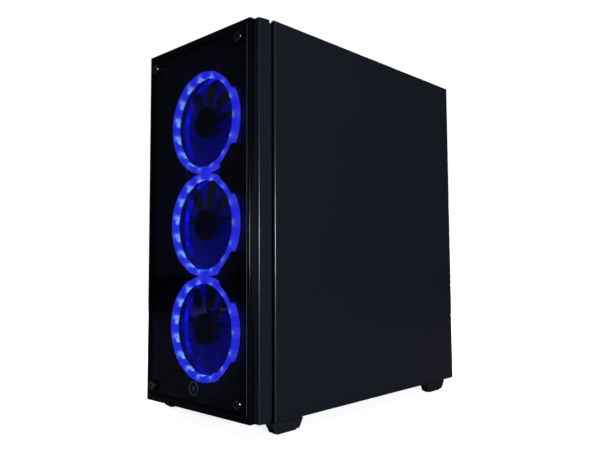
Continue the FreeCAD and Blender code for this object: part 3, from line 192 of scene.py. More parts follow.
# ------------ material helpers
class Paint:
    """A Principled material, kept in LOOKS, and short calls that wire procedural nodes into it."""

    def __init__(self, name, colour, rough, metallic=0.0, **fixed):
        self.mat = bpy.data.materials.new(name)
        LOOKS[name] = self.mat
        self.mat.use_nodes = True
        self.tree = self.mat.node_tree
        self.bsdf = self.tree.nodes["Principled BSDF"]
        self.set("Base Color", (*colour, 1))
        self.set("Roughness", rough)
        self.set("Metallic", metallic)
        for socket, value in fixed.items():
            self.set(socket.replace("_", " "), value)
        self.place = self.node("ShaderNodeTexCoord").outputs["Object"]

    def set(self, socket, value):
        self.bsdf.inputs[socket].default_value = value

    def node(self, kind, *inputs, **settings):
        """A node with its settings, and its inputs given in order; None leaves one alone."""
        made = self.tree.nodes.new(kind)
        for name, value in settings.items():
            setattr(made, name, value)
        for socket, value in zip(made.inputs, inputs):
            self.feed(socket, value)
        return made

    def feed(self, socket, value):
        if isinstance(value, bpy.types.NodeSocket):
            self.tree.links.new(value, socket)
        elif value is not None:
            socket.default_value = value

    def math(self, operation, *values):
        return self.node("ShaderNodeMath", *values, operation=operation).outputs[0]

    def noise(self, scale, detail=2.0, stretch=None):
        place = self.place
        if stretch:
            place = self.node("ShaderNodeMapping", place, None, None, stretch).outputs[0]
        return self.node("ShaderNodeTexNoise", place, None, scale, detail).outputs["Fac"]

    def product(self, *values):
        total = values[0]
        for value in values[1:]:
            total = self.math("MULTIPLY", total, value)
        return total

    def ramp(self, value, start, end, low=0.0, high=1.0):
        """Maps start..end to low..high, and holds the ends."""
        return self.node("ShaderNodeMapRange", value, start, end, low, high).outputs[0]

    def span(self, value, low, high):
        return self.ramp(value, 0.0, 1.0, low, high)

    def fan_place(self):
        """x, y, height over the axis of the nearest front fan, and distance from that axis."""
        x, y, z = self.node("ShaderNodeSeparateXYZ", self.place).outputs
        lowest = RING_CENTRES[0] - FAN_PITCH / 2
        folded = self.math("MODULO", self.math("SUBTRACT", z, lowest), FAN_PITCH)
        up = self.math("SUBTRACT", folded, FAN_PITCH / 2)
        return x, y, up, self.math("SQRT", self.math("ADD", self.product(x, x), self.product(up, up)))

    def blend(self, share, first, second):
        """Colour mix; each colour is a tuple or a socket."""
        made = self.node("ShaderNodeMix", data_type="RGBA")
        colours = [socket for socket in made.inputs if socket.type == "RGBA"]
        self.feed(made.inputs[0], share)
        for socket, value in zip(colours, (first, second)):
            self.feed(socket, (*value, 1) if isinstance(value, tuple) else value)
        return made.outputs[2]

    def edges(self):
        """1 where the surface slants between two flat faces, as on rounded and cut edges, and 0 elsewhere."""
        normal = self.node("ShaderNodeNewGeometry").outputs["True Normal"]
        split = self.node("ShaderNodeSeparateXYZ", normal)
        sizes = [self.math("ABSOLUTE", split.outputs[k]) for k in range(3)]
        flat = self.math("MAXIMUM", self.math("MAXIMUM", sizes[0], sizes[1]), sizes[2])
        return self.ramp(flat, 0.993, 0.93)

    def paint_edge_highlight(self, face, edge, sheen, share=1.0):
        """A face colour and roughness, with a painted highlight along the edges: a brighter, smoother,
        part-metallic coat.
        """
        highlight = self.product(self.edges(), self.span(self.noise(60.0, 3.0), 0.7, 1.0), share)
        self.use("Base Color", self.blend(highlight, face, edge))
        self.use("Metallic", self.product(highlight, 0.75))
        self.use("Roughness", self.math("MULTIPLY_ADD", highlight, -0.1, sheen))

    def use(self, socket, value):
        self.feed(self.bsdf.inputs[socket], value)

    def bump(self, height, depth):
        """Surface relief; depth is in metres."""
        made = self.node("ShaderNodeBump", 1.0, depth)
        self.feed(made.inputs["Height"], height)
        self.use("Normal", made.outputs[0])


def tinted(colour, factor):
    return tuple(channel * factor for channel in colour)


def grained(name, colour, rough, grain, depth, spread=0.25, metallic=0.0):
    """Painted or moulded surface: fine grain, faint cloudy colour and uneven sheen."""
    paint = Paint(name, colour, rough, metallic)
    cloud = paint.noise(14.0, 3.0)
    paint.use("Base Color", paint.blend(cloud, tinted(colour, 1 - spread), tinted(colour, 1 + spread)))
    paint.use("Roughness", paint.span(cloud, rough * 0.9, rough * 1.1))
    paint.bump(paint.noise(grain, 2.0), depth)


def highlighted_paint(name, colour, edge, rough, grain, depth):
    """Satin paint over steel: fine grain, and a painted highlight along the folded edges as a brighter,
    smoother coat.
    """
    paint = Paint(name, colour, rough)
    cloud = paint.noise(14.0, 3.0)
    face = paint.blend(cloud, tinted(colour, 0.95), tinted(colour, 1.05))
    paint.paint_edge_highlight(face, edge, paint.span(cloud, rough * 0.92, rough * 1.08))
    paint.bump(paint.noise(grain, 2.0), depth)


def moulded_front(name, satin, frame_shade_colour, edge):
    """Front moulding: satin shell with a painted highlight along its edges, and a glossier raised frame ahead
    of it whose colour is painted far darker as shade.
    """
    paint = Paint(name, satin, 0.30)
    frame_depth = 7.4 * MM
    y = paint.node("ShaderNodeSeparateXYZ", paint.place).outputs[1]
    # shell is 1 on the satin shell and 0 on the raised frame, which takes the darker painted-shade colour and
    # no edge highlight.
    shell = paint.math("GREATER_THAN", y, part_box("front_bezel")[0].y + frame_depth)
    cloudy = paint.blend(paint.noise(14.0, 3.0), tinted(satin, 0.94), tinted(satin, 1.06))
    paint.paint_edge_highlight(paint.blend(shell, frame_shade_colour, cloudy), edge, paint.span(shell, 0.16, 0.31), shell)
    paint.bump(paint.noise(1800.0, 2.0), 0.000008)


def brushed(name, colour, rough, stretch):
    """Rolled or plated metal with faint lines along one direction."""
    paint = Paint(name, colour, rough, 1.0)
    lines = paint.noise(900.0, 2.0, stretch)
    paint.use("Base Color", paint.blend(paint.noise(25.0, 2.0), tinted(colour, 0.82), tinted(colour, 1.08)))
    paint.use("Roughness", paint.span(lines, rough * 0.75, rough * 1.35))
    paint.bump(lines, 0.00002)


def tinted_glass(name, colour, ior, lamps):
    """Clear dark glass with faint smears, and opaque, pale, part-metallic cut edges that paint a highlight
    along the glass edge. Lamp light passes each face of it by the share given as lamps.
    """
    paint = Paint(name, colour, 0.01, IOR=ior, Transmission_Weight=1.0)
    # Cut edges: opaque, pale and part metallic, a painted highlight along the glass edge.
    cut = paint.edges()
    smear = paint.span(paint.noise(9.0, 3.0), 0.004, 0.018)
    paint.use("Roughness", paint.math("MULTIPLY_ADD", cut, 0.3, smear))
    paint.use("Transmission Weight", paint.math("SUBTRACT", 1.0, cut))
    paint.use("Base Color", paint.blend(cut, colour, (0.10, 0.11, 0.12)))
    paint.use("Metallic", paint.product(cut, 0.5))
    passed = paint.node("ShaderNodeBsdfTransparent", (lamps, lamps, lamps, 1))
    shadow = paint.node("ShaderNodeLightPath").outputs["Is Shadow Ray"]
    mix = paint.node("ShaderNodeMixShader", shadow, paint.bsdf.outputs[0], passed.outputs[0])
    paint.tree.links.new(mix.outputs[0], paint.tree.nodes["Material Output"].inputs["Surface"])


def light_ring():
    """Lit blue light guide: evenly spaced lamps glow paler than the guide between them."""
    paint = Paint("light_ring", (0.01, 0.015, 0.25), 0.35)
    x, _, up, radius = paint.fan_place()
    wave = paint.math("COSINE", paint.product(paint.math("ARCTAN2", up, x), float(LAMPS)))
    wave = paint.math("MULTIPLY_ADD", wave, 0.5, 0.5)
    haze = paint.product(paint.math("POWER", wave, 2.0), 0.45)
    inner = paint.ramp(radius, RING_R - 2 * MM, RING_R - 6.5 * MM)
    uneven = paint.span(paint.noise(60.0, 2.0), 0.55, 1.25)
    spot = paint.product(paint.math("POWER", wave, 9.0), inner, uneven)
    colour = paint.blend(haze, (0.030, 0.040, 1.0), (0.16, 0.15, 1.0))
    paint.use("Emission Color", paint.blend(spot, colour, (0.25, 0.62, 1.0)))
    paint.use("Emission Strength", paint.math("MULTIPLY_ADD", spot, 1.6, 2.5))


def fan_blade():
    """Fan wheel: black hub, and smoky see-through blades with a painted blue glow that stands in for the
    ring's light on them.
    """
    hub, blade = (0.003, 0.003, 0.008), (0.001, 0.001, 0.02)
    paint = Paint("fan_blade", blade, 0.5)
    radius = paint.fan_place()[3]
    outside = paint.ramp(radius, HUB_R * MM, (HUB_R + 0.6) * MM)
    paint.use("Base Color", paint.blend(outside, hub, blade))
    painted_glow_unevenness = paint.span(paint.noise(40.0, 2.0), 0.7, 1.2)
    reach = paint.ramp(radius, HUB_R * MM, BLADE_TIP_R * MM, 0.55, 1.0)
    # Painted light: the blades glow blue, brighter towards their tips, though they are no lamp.
    paint.use("Emission Color", paint.blend(outside, (0.0, 0.0, 0.0), (0.0, 0.0, 0.62)))
    paint.use("Emission Strength", paint.product(painted_glow_unevenness, reach))
    paint.use("Alpha", paint.span(outside, 1.0, 0.42))
    paint.bump(paint.noise(2500.0, 1.0), 0.00001)


def lit_frame():
    """Black fan frame; its bore has a faint painted blue glow, fading towards the rear, that stands in for
    the light of the ring in front of it.
    """
    paint = Paint("lit_frame", (0.006, 0.006, 0.009), 0.35)
    _, y, _, radius = paint.fan_place()
    inside = paint.math("LESS_THAN", radius, MOUTH_R * MM)
    beyond_hub = paint.math("GREATER_THAN", radius, 20 * MM)
    near = paint.ramp(y, RING_LOW.y, RING_LOW.y + 26 * MM, 1.0, 0.25)
    uneven = paint.span(paint.noise(45.0, 2.0), 0.6, 1.3)
    # Painted light: the bore glows though it is no lamp.
    paint.set("Emission Color", (0.004, 0.004, 1.0, 1))
    paint.use("Emission Strength", paint.product(inside, beyond_hub, near, uneven, 0.22))
    paint.bump(paint.noise(2000.0, 2.0), 0.00003)


def glowing(name, colour, strength):
    """Small lit lens, or a glowing band that paints a reflection, with a slightly uneven brightness."""
    paint = Paint(name, tinted(colour, 0.2), 0.3)
    paint.set("Emission Color", (*colour, 1))
    paint.use("Emission Strength", paint.span(paint.noise(90.0, 2.0), strength * 0.6, strength * 1.3))


def circuit_board(name, flat_axis):
    """Black solder mask with thin traces and vias. flat_axis is the board's thin axis."""
    paint = Paint(name, (0.012, 0.014, 0.016), 0.38)

    def patches(scale, above):
        spread = paint.node("ShaderNodeTexNoise", place, None, scale, 1.0).outputs["Fac"]
        return paint.math("GREATER_THAN", spread, above)

    stretch = [1.0, 1.0, 1.0]
    stretch["xyz".index(flat_axis)] = 0.0
    place = paint.node("ShaderNodeMapping", paint.place, None, None, tuple(stretch)).outputs[0]
    cells = paint.node("ShaderNodeTexVoronoi", place, None, 160.0, distance="MANHATTAN", feature="F1")
    rim = paint.math("FRACT", paint.product(cells.outputs["Distance"], 9.0))
    shown = paint.product(paint.math("LESS_THAN", rim, 0.28), patches(22.0, 0.5))
    holes = paint.node("ShaderNodeTexVoronoi", place, None, 420.0, feature="F1")
    via = paint.product(paint.math("LESS_THAN", holes.outputs["Distance"], 0.16), patches(70.0, 0.56))
    colour = paint.blend(shown, (0.010, 0.011, 0.013), (0.028, 0.032, 0.036))
    paint.use("Base Color", paint.blend(via, colour, (0.46, 0.40, 0.26)))
    paint.use("Metallic", paint.product(via, 0.8))
    paint.bump(shown, 0.00004)


def braided(name, colour):
    """Woven sleeve: fine crossing threads."""
    paint = Paint(name, colour, 0.75)
    place = paint.node("ShaderNodeMapping", paint.place, None, (0.6, 0.6, 0.78)).outputs[0]
    first = paint.node("ShaderNodeTexWave", place, 900.0, bands_direction="X").outputs["Fac"]
    second = paint.node("ShaderNodeTexWave", place, 900.0, bands_direction="Z").outputs["Fac"]
    weave = paint.product(first, second)
    paint.use("Base Color", paint.blend(weave, tinted(colour, 0.5), tinted(colour, 1.8)))
    paint.bump(weave, 0.00012)


# Grained surfaces: colour, roughness, grain scale, grain depth in metres, colour spread, metallic.
GRAINED = {
    "black_steel": ((0.016, 0.017, 0.021), 0.5, 1900.0, 0.00004, 0.12),
    "foot_plastic": ((0.0070, 0.0076, 0.0120), 0.5, 2200.0, 0.00005, 0.10),
    "black_rubber": ((0.012, 0.012, 0.012), 0.8, 1500.0, 0.00008),
    "fan_plastic": ((0.012, 0.012, 0.015), 0.45, 2000.0, 0.00004, 0.15),
    "connector": ((0.014, 0.014, 0.016), 0.4, 2500.0, 0.00002, 0.15),
    "card_cover": ((0.018, 0.018, 0.021), 0.42, 2200.0, 0.00004, 0.12),
    "card_trim": ((0.05, 0.052, 0.058), 0.3, 2600.0, 0.00001, 0.1, 0.6),
    "button": ((0.02, 0.02, 0.023), 0.25, 2500.0, 0.00001, 0.1),
    "mesh": ((0.012, 0.012, 0.018), 0.6, 4000.0, 0.00002, 0.2),
    "print": ((0.008, 0.008, 0.009), 0.25, 3000.0, 0.000005),
    "chip": ((0.008, 0.008, 0.009), 0.45, 3000.0, 0.00003),
    "blue_socket": ((0.01, 0.05, 0.42), 0.4, 2500.0, 0.00002),
    "dark_rotor": ((0.012, 0.012, 0.014), 0.32, 2200.0, 0.00001)}

# Brushed metals: colour, roughness, and how far the brushing is drawn out along x, y and z.
BRUSHED = {
    "chrome": ((0.78, 0.80, 0.83), 0.10, (1, 0.05, 1)),
    "dark_chrome": ((0.26, 0.29, 0.31), 0.16, (1, 0.05, 1)),
    "black_knob": ((0.06, 0.06, 0.065), 0.35, (1, 1, 0.05)),
    "badge": ((0.30, 0.44, 0.56), 0.35, (0.05, 1, 1)),
    "zinc": ((0.50, 0.51, 0.52), 0.35, (1, 1, 0.04)),
    "heatsink": ((0.62, 0.63, 0.65), 0.32, (1, 0.05, 0.05)),
    "dark_sink": ((0.075, 0.078, 0.085), 0.42, (1, 0.05, 1)),
    "memory": ((0.045, 0.046, 0.052), 0.38, (1, 1, 0.05)),
    "copper": ((0.72, 0.40, 0.26), 0.25, (0.05, 1, 1)),
    "drive": ((0.42, 0.43, 0.44), 0.5, (1, 0.05, 1)),
    "gold": ((0.80, 0.58, 0.22), 0.28, (1, 1, 0.05)),
    "can": ((0.55, 0.56, 0.58), 0.3, (1, 1, 1))}


def make_materials():
    """Every material; the names are the record's slots where one exists."""
    # Colour of the painted highlight along the edges of the steel panels and the front moulding.
    edge_highlight_colour = (0.052, 0.057, 0.061)
    for name, values in GRAINED.items():
        grained(name, *values)
    for name, values in BRUSHED.items():
        brushed(name, *values)
    highlighted_paint("panel_steel", (0.0095, 0.0098, 0.0150), edge_highlight_colour, 0.30, 2600.0, 0.000012)
    moulded_front("front_plastic", (0.0105, 0.0108, 0.0160), (0.0010, 0.0012, 0.0035), edge_highlight_colour)
    tinted_glass("front_glass", (0.52, 0.54, 0.80), 1.30, 0.05)
    tinted_glass("side_glass", (0.70, 0.71, 0.74), 1.45, 0.85)
    circuit_board("board", "x")
    circuit_board("flat_board", "z")
    braided("cable", (0.018, 0.018, 0.02))
    glowing("lens", (0.26, 0.62, 1.0), 3.6)
    glowing("painted_reflection_arc", (0.003, 0.005, 1.0), 3.2)
    light_ring()
    fan_blade()
    lit_frame()


# ------------ mesh helpers (millimetres in, metres out)
AXES = {"x": (1, 2, 0), "y": (2, 0, 1), "z": (0, 1, 2)}


class Solid:
    """Closed shapes gathered into one piece. Lengths are in millimetres."""

    def __init__(self):
        self.points = []
        self.faces = []

    def add(self, points, faces):
        start = len(self.points)
        self.points += [tuple(point) for point in points]
        self.faces += [tuple(start + index for index in face) for face in faces]

    def rings(self, loops):
        """Closed skin through loops of points; the first and last loops are capped."""
        count = len(loops[0])
        points = [point for loop in loops for point in loop]
        faces = [tuple(range(count))[::-1]]
        for level in range(len(loops) - 1):
            for step in range(count):
                after = (step + 1) % count
                low, high = level * count, (level + 1) * count
                faces.append((low + step, low + after, high + after, high + step))
        faces.append(tuple(range(len(points) - count, len(points))))
        self.add(points, faces)

    def block(self, x, y, z):
        """Block from three (low, high) pairs."""
        base = ((x[0], y[0]), (x[1], y[0]), (x[1], y[1]), (x[0], y[1]))
        self.rings([[(*corner, level) for corner in base] for level in z])

    def prism(self, outline, axis, low, high, ease=0.0):
        """Extrudes an outline along an axis; ease slopes both rims in by that much."""
        middle = [sum(point[k] for point in outline) / len(outline) for k in (0, 1)]
        levels = [(low, 0.0), (high, 0.0)]
        if ease:
            levels = [(low, ease), (low + ease, 0.0), (high - ease, 0.0), (high, ease)]
        loops = []
        for level, inset in levels:
            loop = []
            for point in outline:
                away = Vector((point[0] - middle[0], point[1] - middle[1]))
                length = max(away.length, 1e-6)
                flat = away * ((length - inset) / length) + Vector(middle)
                loop.append(placed(flat[0], flat[1], level, axis))
            loops.append(loop)
        self.rings(loops)

    def rod(self, centre, axis, radius, length, sides=20, ease=0.0):
        """Cylinder that starts at a point and runs along an axis."""
        u, v, w = AXES[axis]
        outline = circle((centre[u], centre[v]), radius, sides)
        self.prism(outline, axis, centre[w], centre[w] + length, ease)

    def frame(self, outer, inner, axis, low, high):
        """Plate between two outlines with the same number of points."""
        count = len(outer)
        points = []
        for outline, level in ((outer, low), (outer, high), (inner, high), (inner, low)):
            points += [placed(point[0], point[1], level, axis) for point in outline]
        faces = []
        for band in range(4):
            for step in range(count):
                after = (step + 1) % count
                low_row, high_row = band * count, ((band + 1) % 4) * count
                faces.append((low_row + step, low_row + after, high_row + after, high_row + step))
        self.add(points, faces)

    def arc_band(self, centre, axis, radii, span, low, high, steps):
        """Part of a ring between two angles."""
        u, v, _ = AXES[axis]
        section = ((radii[0], low), (radii[1], low), (radii[1], high), (radii[0], high))
        loops = []
        for step in range(steps + 1):
            turn = span[0] + (span[1] - span[0]) * step / steps
            loops.append([placed(centre[u] + radius * math.cos(turn), centre[v] + radius * math.sin(turn),
                                 level, axis) for radius, level in section])
        self.rings(loops)

    def wire(self, start, end, radius, sides=6):
        """Straight round wire between two points."""
        start, end = Vector(start), Vector(end)
        turn = (end - start).to_track_quat("Z", "Y")
        spokes = [turn @ Vector((*place, 0)) for place in circle((0, 0), radius, sides)]
        self.rings([[point + spoke for spoke in spokes] for point in (start, end)])

    def piece(self, name, look, slot, bevel=0.0, body="chassis"):
        """Makes the object, with consistent outward faces, and lets it ride on its body."""
        sharp_angle = math.radians(38.0)
        mesh = bpy.data.meshes.new(name)
        mesh.from_pydata([(x * MM, y * MM, z * MM) for x, y, z in self.points], [], self.faces)
        shape = bmesh.new()
        shape.from_mesh(mesh)
        bmesh.ops.recalc_face_normals(shape, faces=shape.faces)
        shape.to_mesh(mesh)
        shape.free()
        mesh.shade_smooth()
        mesh.set_sharp_from_angle(angle=sharp_angle)
        mesh.materials.append(LOOKS[look])
        obj = link(bpy.data.objects.new(name, mesh))
        if bevel:
            rounding = obj.modifiers.new("rounding", "BEVEL")
            rounding.width = bevel * MM
            rounding.segments = 2
            rounding.limit_method = "ANGLE"
        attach(obj, body)
        return obj


def placed(across, along, level, axis):
    """A point from coordinates in the plane that an axis stands on."""
    u, v, w = AXES[axis]
    point = [0.0, 0.0, 0.0]
    point[u], point[v], point[w] = across, along, level
    return tuple(point)


def circle(centre, radius, sides):
    turns = [2 * math.pi * step / sides for step in range(sides)]
    return [(centre[0] + radius * math.cos(turn), centre[1] + radius * math.sin(turn)) for turn in turns]


def round_rectangle(u, v, radius, steps=5):
    """Outline of a rectangle from two (low, high) pairs, with round corners."""
    points = []
    places = ((u[1] - radius, v[1] - radius), (u[0] + radius, v[1] - radius),
              (u[0] + radius, v[0] + radius), (u[1] - radius, v[0] + radius))
    for corner, (a, b) in enumerate(places):
        for step in range(steps + 1):
            turn = math.pi / 2 * (corner + step / steps)
            points.append((a + radius * math.cos(turn), b + radius * math.sin(turn)))
    return points


def around(middle, size):
    return (middle - size / 2, middle + size / 2)


def inset(pair, by):
    return (pair[0] + by, pair[1] - by)


def millimetres(node):
    """A node's lowest and highest corners in millimetres."""
    low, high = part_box(node)
    return low / MM, high / MM


# ------------ dust meshes
def clipped(start, way, u, v):
    """The part of a line through a point that lies in a rectangle, as two points, or None."""
    near, far = -1e9, 1e9
    for place, speed, (low, high) in ((start[0], way[0], u), (start[1], way[1], v)):
        first, last = sorted(((low - place) / speed, (high - place) / speed))
        near, far = max(near, first), min(far, last)
    if far - near < 1.0:
        return None
    return [(start[0] + way[0] * reach, start[1] + way[1] * reach) for reach in (near, far)]


def diagonal_wires(shape, u, v, axis, level, cell, radius):
    """Two layers of slanting wires that cross in diamond cells, clipped to a rectangle."""
    lean = cell[1] / cell[0]
    span = (u[1] - u[0]) + (v[1] - v[0]) / lean
    for side in (1, -1):
        for number in range(1, int(span / cell[0])):
            shift = number * cell[0]
            start = (u[1] - shift, v[0]) if side > 0 else (u[0] + shift, v[0])
            ends = clipped(start, (side, lean), u, v)
            if ends:
                depth = level + side * radius * 0.8
                shape.wire(placed(*ends[0], depth, axis), placed(*ends[1], depth, axis), radius, 4)


def front_filter():
    """Open mesh behind the front glass, in a thin rim."""
    low, high = millimetres("front_dust_filter")
    u, v = (low.z, high.z), (low.x, high.x)
    shape = Solid()
    rim, wire = 1.6, 0.46
    diagonal_wires(shape, inset(u, 1), inset(v, 1), "y", (low.y + high.y) / 2, FILTER_CELL, wire)
    inner = round_rectangle(inset(u, rim), inset(v, rim), 1)
    shape.frame(round_rectangle(u, v, 1), inner, "y", low.y, high.y)
    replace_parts(shape.piece("front_filter_mesh", "mesh", "mesh", body="bezel"), "front_dust_filter")


def flat_filter(node, back_rim, bars, grip):
    """Slide-in or magnetic filter: a moulded rim and cross bars round a woven sheet."""
    low, high = millimetres(node)
    rim, bar, ridges = 6, 5, 9
    inside_x = (low.x + rim, high.x - rim)
    inside_y = (low.y + rim, high.y - back_rim)
    top = high.z
    bottom = low.z + 3.0 if grip else low.z
    shape = Solid()
    shape.frame(round_rectangle((low.x, high.x), (low.y, high.y), 5),
                round_rectangle(inside_x, inside_y, 4), "z", bottom, top)
    middle = (inside_x[0] + inside_x[1]) / 2
    for step in range(bars):
        place = inside_y[0] + (inside_y[1] - inside_y[0]) * (step + 1) / (bars + 1)
        shape.block(inset(inside_x, -1), around(place, bar), (bottom + 0.2, top - 0.15))
    shape.block(around(middle, bar), inset(inside_y, -1), (bottom + 0.2, top - 0.2))
    if grip:
        outline = round_rectangle(around(middle, 50), (high.y - 4, high.y), 1.5)
        shape.prism(outline, "z", low.z, bottom, 0.4)
        for step in range(ridges):
            place = middle - 20 + 5 * step
            shape.block(around(place, 2), (high.y - 4.3, high.y - 3.6), (low.z + 0.5, bottom))
    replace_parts(shape.piece(node + "_rim", "foot_plastic", "foot_plastic", 0.25, node), node)
    woven = Solid()
    level = (bottom + top) / 2
    wire, pitch, tuck = 0.17, 1.5, 0.5
    for step in range(1, int((inside_x[1] - inside_x[0]) / pitch)):
        x = inside_x[0] + step * pitch
        woven.wire((x, inside_y[0] - tuck, level - wire), (x, inside_y[1] + tuck, level - wire), wire, 4)
    for step in range(1, int((inside_y[1] - inside_y[0]) / pitch)):
        y = inside_y[0] + step * pitch
        woven.wire((inside_x[0] - tuck, y, level + wire), (inside_x[1] + tuck, y, level + wire), wire, 4)
    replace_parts(woven.piece(node + "_weave", "mesh", "mesh", body=node), node)


# ------------ front fans
def fan_details():
    """Lenses on the light rings, glowing arcs deep in the fan mouths that paint the ring lamps' reflection on
    the bore, and pads on the fan corners.
    """
    low, high = millimetres("front_light_rings")
    quarter_turn, gap, half_lens = math.pi / 2, 0.16, 0.05
    hole_place, pad_r, hole_r = 52.5, 6.2, 2.6
    lenses, arcs, pads = Solid(), Solid(), Solid()
    for centre_z in [place / MM for place in RING_CENTRES]:
        centre = (0.0, 0.0, centre_z)
        for step in range(LAMPS):
            turn = 2 * math.pi * (step + 0.5) / LAMPS
            span = (turn - half_lens, turn + half_lens)
            lenses.arc_band(centre, "y", LENS_R, span, low.y + 1.4, high.y - 0.8, 4)
        for step in range(4):
            span = (quarter_turn * (step + 0.5) + gap, quarter_turn * (step + 1.5) - gap)
            # Painted reflection of the ring lamps on the fan bore, as glowing arcs.
            arcs.arc_band(centre, "y", REFLECTION_ARC_R, span, low.y + 17.0, low.y + 22.5, 18)
        for side in (-1, 1):
            for end in (-1, 1):
                hole = (centre_z + end * hole_place, side * hole_place)
                pads.frame(circle(hole, pad_r, 24), circle(hole, hole_r, 24), "y", low.y - 0.5, low.y + 0.05)
    lenses.piece("ring_lenses", "lens", "light_ring", 0.15)
    arcs.piece("fan_painted_reflection_arcs", "painted_reflection_arc", "light_ring")
    pads.piece("fan_corner_pads", "black_rubber", "black_rubber", 0.12)


# ------------ glass
def glass_border():
    """Black printed border on the inner face of the side glass."""
    low, high = millimetres("side_glass")
    u, v = (low.y + 1, high.y - 1), (low.z + 1, high.z - 1)
    wide, skin = 15.0, 0.08
    shape = Solid()
    shape.frame(round_rectangle(u, v, 4), round_rectangle(inset(u, wide), inset(v, wide), 4),
                "x", high.x - 0.02, high.x + skin)
    shape.piece("side_glass_border", "print", "black_steel", body="glass_panel")


# ------------ main board
def board_face():
    """Component face of the main board, and the board's y and z ranges, in millimetres."""
    low, high = millimetres("motherboard")
    return high.x - BOARD_THICK, (low.y, high.y), (low.z, high.z)


class Board:
    """The main board, and what is still free on its component face."""

    STANDING = ("motherboard", "board_sockets", "board_heatsinks", "rear_ports", "cooler_heatpipes",
                "motherboard_tray", "graphics_bracket")
    MARGIN = 8
    REACH = 45          # how far over the board something counts as standing on it
    APART = 0.6

    def __init__(self):
        self.face, self.y, self.z = board_face()
        self.field_y, self.field_z = inset(self.y, self.MARGIN), inset(self.z, self.MARGIN)
        self.rng = random.Random(7)
        self.used = []
        self.trees = []
        for name in self.STANDING:
            shape = bmesh.new()
            shape.from_mesh(NODES[name].data)
            self.trees.append(BVHTree.FromBMesh(shape))
            shape.free()

    def taken(self, y, z, half_y, half_z):
        """Whether something stands over a rectangle of the board."""
        for a in (-1, 0, 1):
            for b in (-1, 0, 1):
                start = Vector((self.face - self.REACH, y + a * half_y, z + b * half_z)) * MM
                for tree in self.trees:
                    hit = tree.ray_cast(start, Vector((1, 0, 0)), self.REACH * MM)
                    if hit[0] is not None and hit[0].x < (self.face - 0.3) * MM:
                        return True
        return False

    def places(self, count, half_y, half_z, y=None, z=None):
        """Free places for parts of one size in a region, kept apart from what is already placed."""
        y, z = y or self.field_y, z or self.field_z
        found = []
        tries = 0
        while len(found) < count and tries < count * 30:
            tries += 1
            place = (self.rng.uniform(*y), self.rng.uniform(*z))
            clear = all(abs(place[0] - other[0]) > half_y + other[2] + self.APART
                        or abs(place[1] - other[1]) > half_z + other[3] + self.APART for other in self.used)
            if clear and not self.taken(place[0], place[1], half_y + self.APART, half_z + self.APART):
                found.append(place)
                self.used.append((place[0], place[1], half_y, half_z))
        return found


def board_battery(board):
    face = board.face
    battery = Solid()
    for y, z in board.places(1, 11, 11, z=(board.z[0] + 20, board.z[0] + 120)):
        battery.rod((face - 4.2, y, z), "x", 10, 3.2, 40, 0.5)
        battery.rod((face - 1.5, y, z), "x", 11, 1.5, 40)
    battery.piece("board_battery", "chrome", "chrome")


def board_chips(board):
    """Chips in three sizes, with pins along two sides."""
    face = board.face
    chips, pins = Solid(), Solid()
    for half, count in ((7.5, 2), (5.0, 6), (3.2, 12)):
        for y, z in board.places(count, half, half):
            chips.block((face - 1.5, face - 0.15), (y - half, y + half), (z - half, z + half))
            legs = int(half * 2 / 1.1)
            for step in range(legs):
                across = y - half + 0.8 + step * (2 * half - 1.6) / max(1, legs - 1)
                for side in (-1, 1):
                    pins.block((face - 0.7, face), around(across, 0.45), around(z + side * (half + 0.4), 0.9))
    chips.piece("board_chips", "chip", "connector", 0.18)
    pins.piece("board_chip_pins", "can", "zinc")


def board_capacitors(board):
    face = board.face
    cans, rims = Solid(), Solid()
    for radius, tall, count in ((3.6, 9.0, 12), (2.8, 7.0, 20)):
        for y, z in board.places(count, radius, radius):
            cans.rod((face - tall, y, z), "x", radius, tall - 0.6, 24, 0.45)
            rims.block((face - 0.9, face), around(y, radius * 2), around(z, radius * 2))
    cans.piece("board_capacitors", "can", "heatsink")
    rims.piece("board_capacitor_bases", "chip", "connector", 0.3)


def board_chokes(board):
    """Square chokes round the processor."""
    face, wide, half = board.face, 8.6, 4.6
    region = ((board.y[1] - 170, board.y[1] - 20), (board.z[1] - 120, board.z[1] - 6))
    chokes = Solid()
    for y, z in board.places(10, half, half, *region):
        chokes.block((face - 6.5, face), around(y, wide), around(z, wide))
    chokes.piece("board_chokes", "memory", "memory", 0.5)


def board_small_parts(board):
    """Resistors and the like, with bright soldered ends."""
    face = board.face
    small, ends = Solid(), Solid()
    for y, z in board.places(150, 1.2, 0.7):
        small.block((face - 0.7, face), around(y, 1.3), around(z, 1.0))
        for side in (-1, 1):
            ends.block((face - 0.75, face), around(y + side * 0.85, 0.5), around(z, 1.05))
    small.piece("board_small_parts", "chip", "connector")
    ends.piece("board_solder_ends", "can", "zinc")


def board_headers(board):
    """Rows of pins along the board's lower edge."""
    face, pitch, pin = board.face, 2.54, 0.64
    level = board.z[0] + 6
    headers, posts = Solid(), Solid()
    for group in range(6):
        start = board.y[0] + 14 + group * 31
        if board.taken(start + 9, level, 10, 3):
            continue
        headers.block((face - 2.5, face), (start, start + 20.4), around(level, 5.1))
        for step in range(8):
            for row in (-pitch / 2, pitch / 2):
                place = start + 1.3 + pitch * step
                posts.block((face - 8.5, face), around(place, pin), around(level + row, pin))
    headers.piece("board_header_bases", "connector", "connector", 0.2)
    posts.piece("board_header_pins", "gold", "zinc")


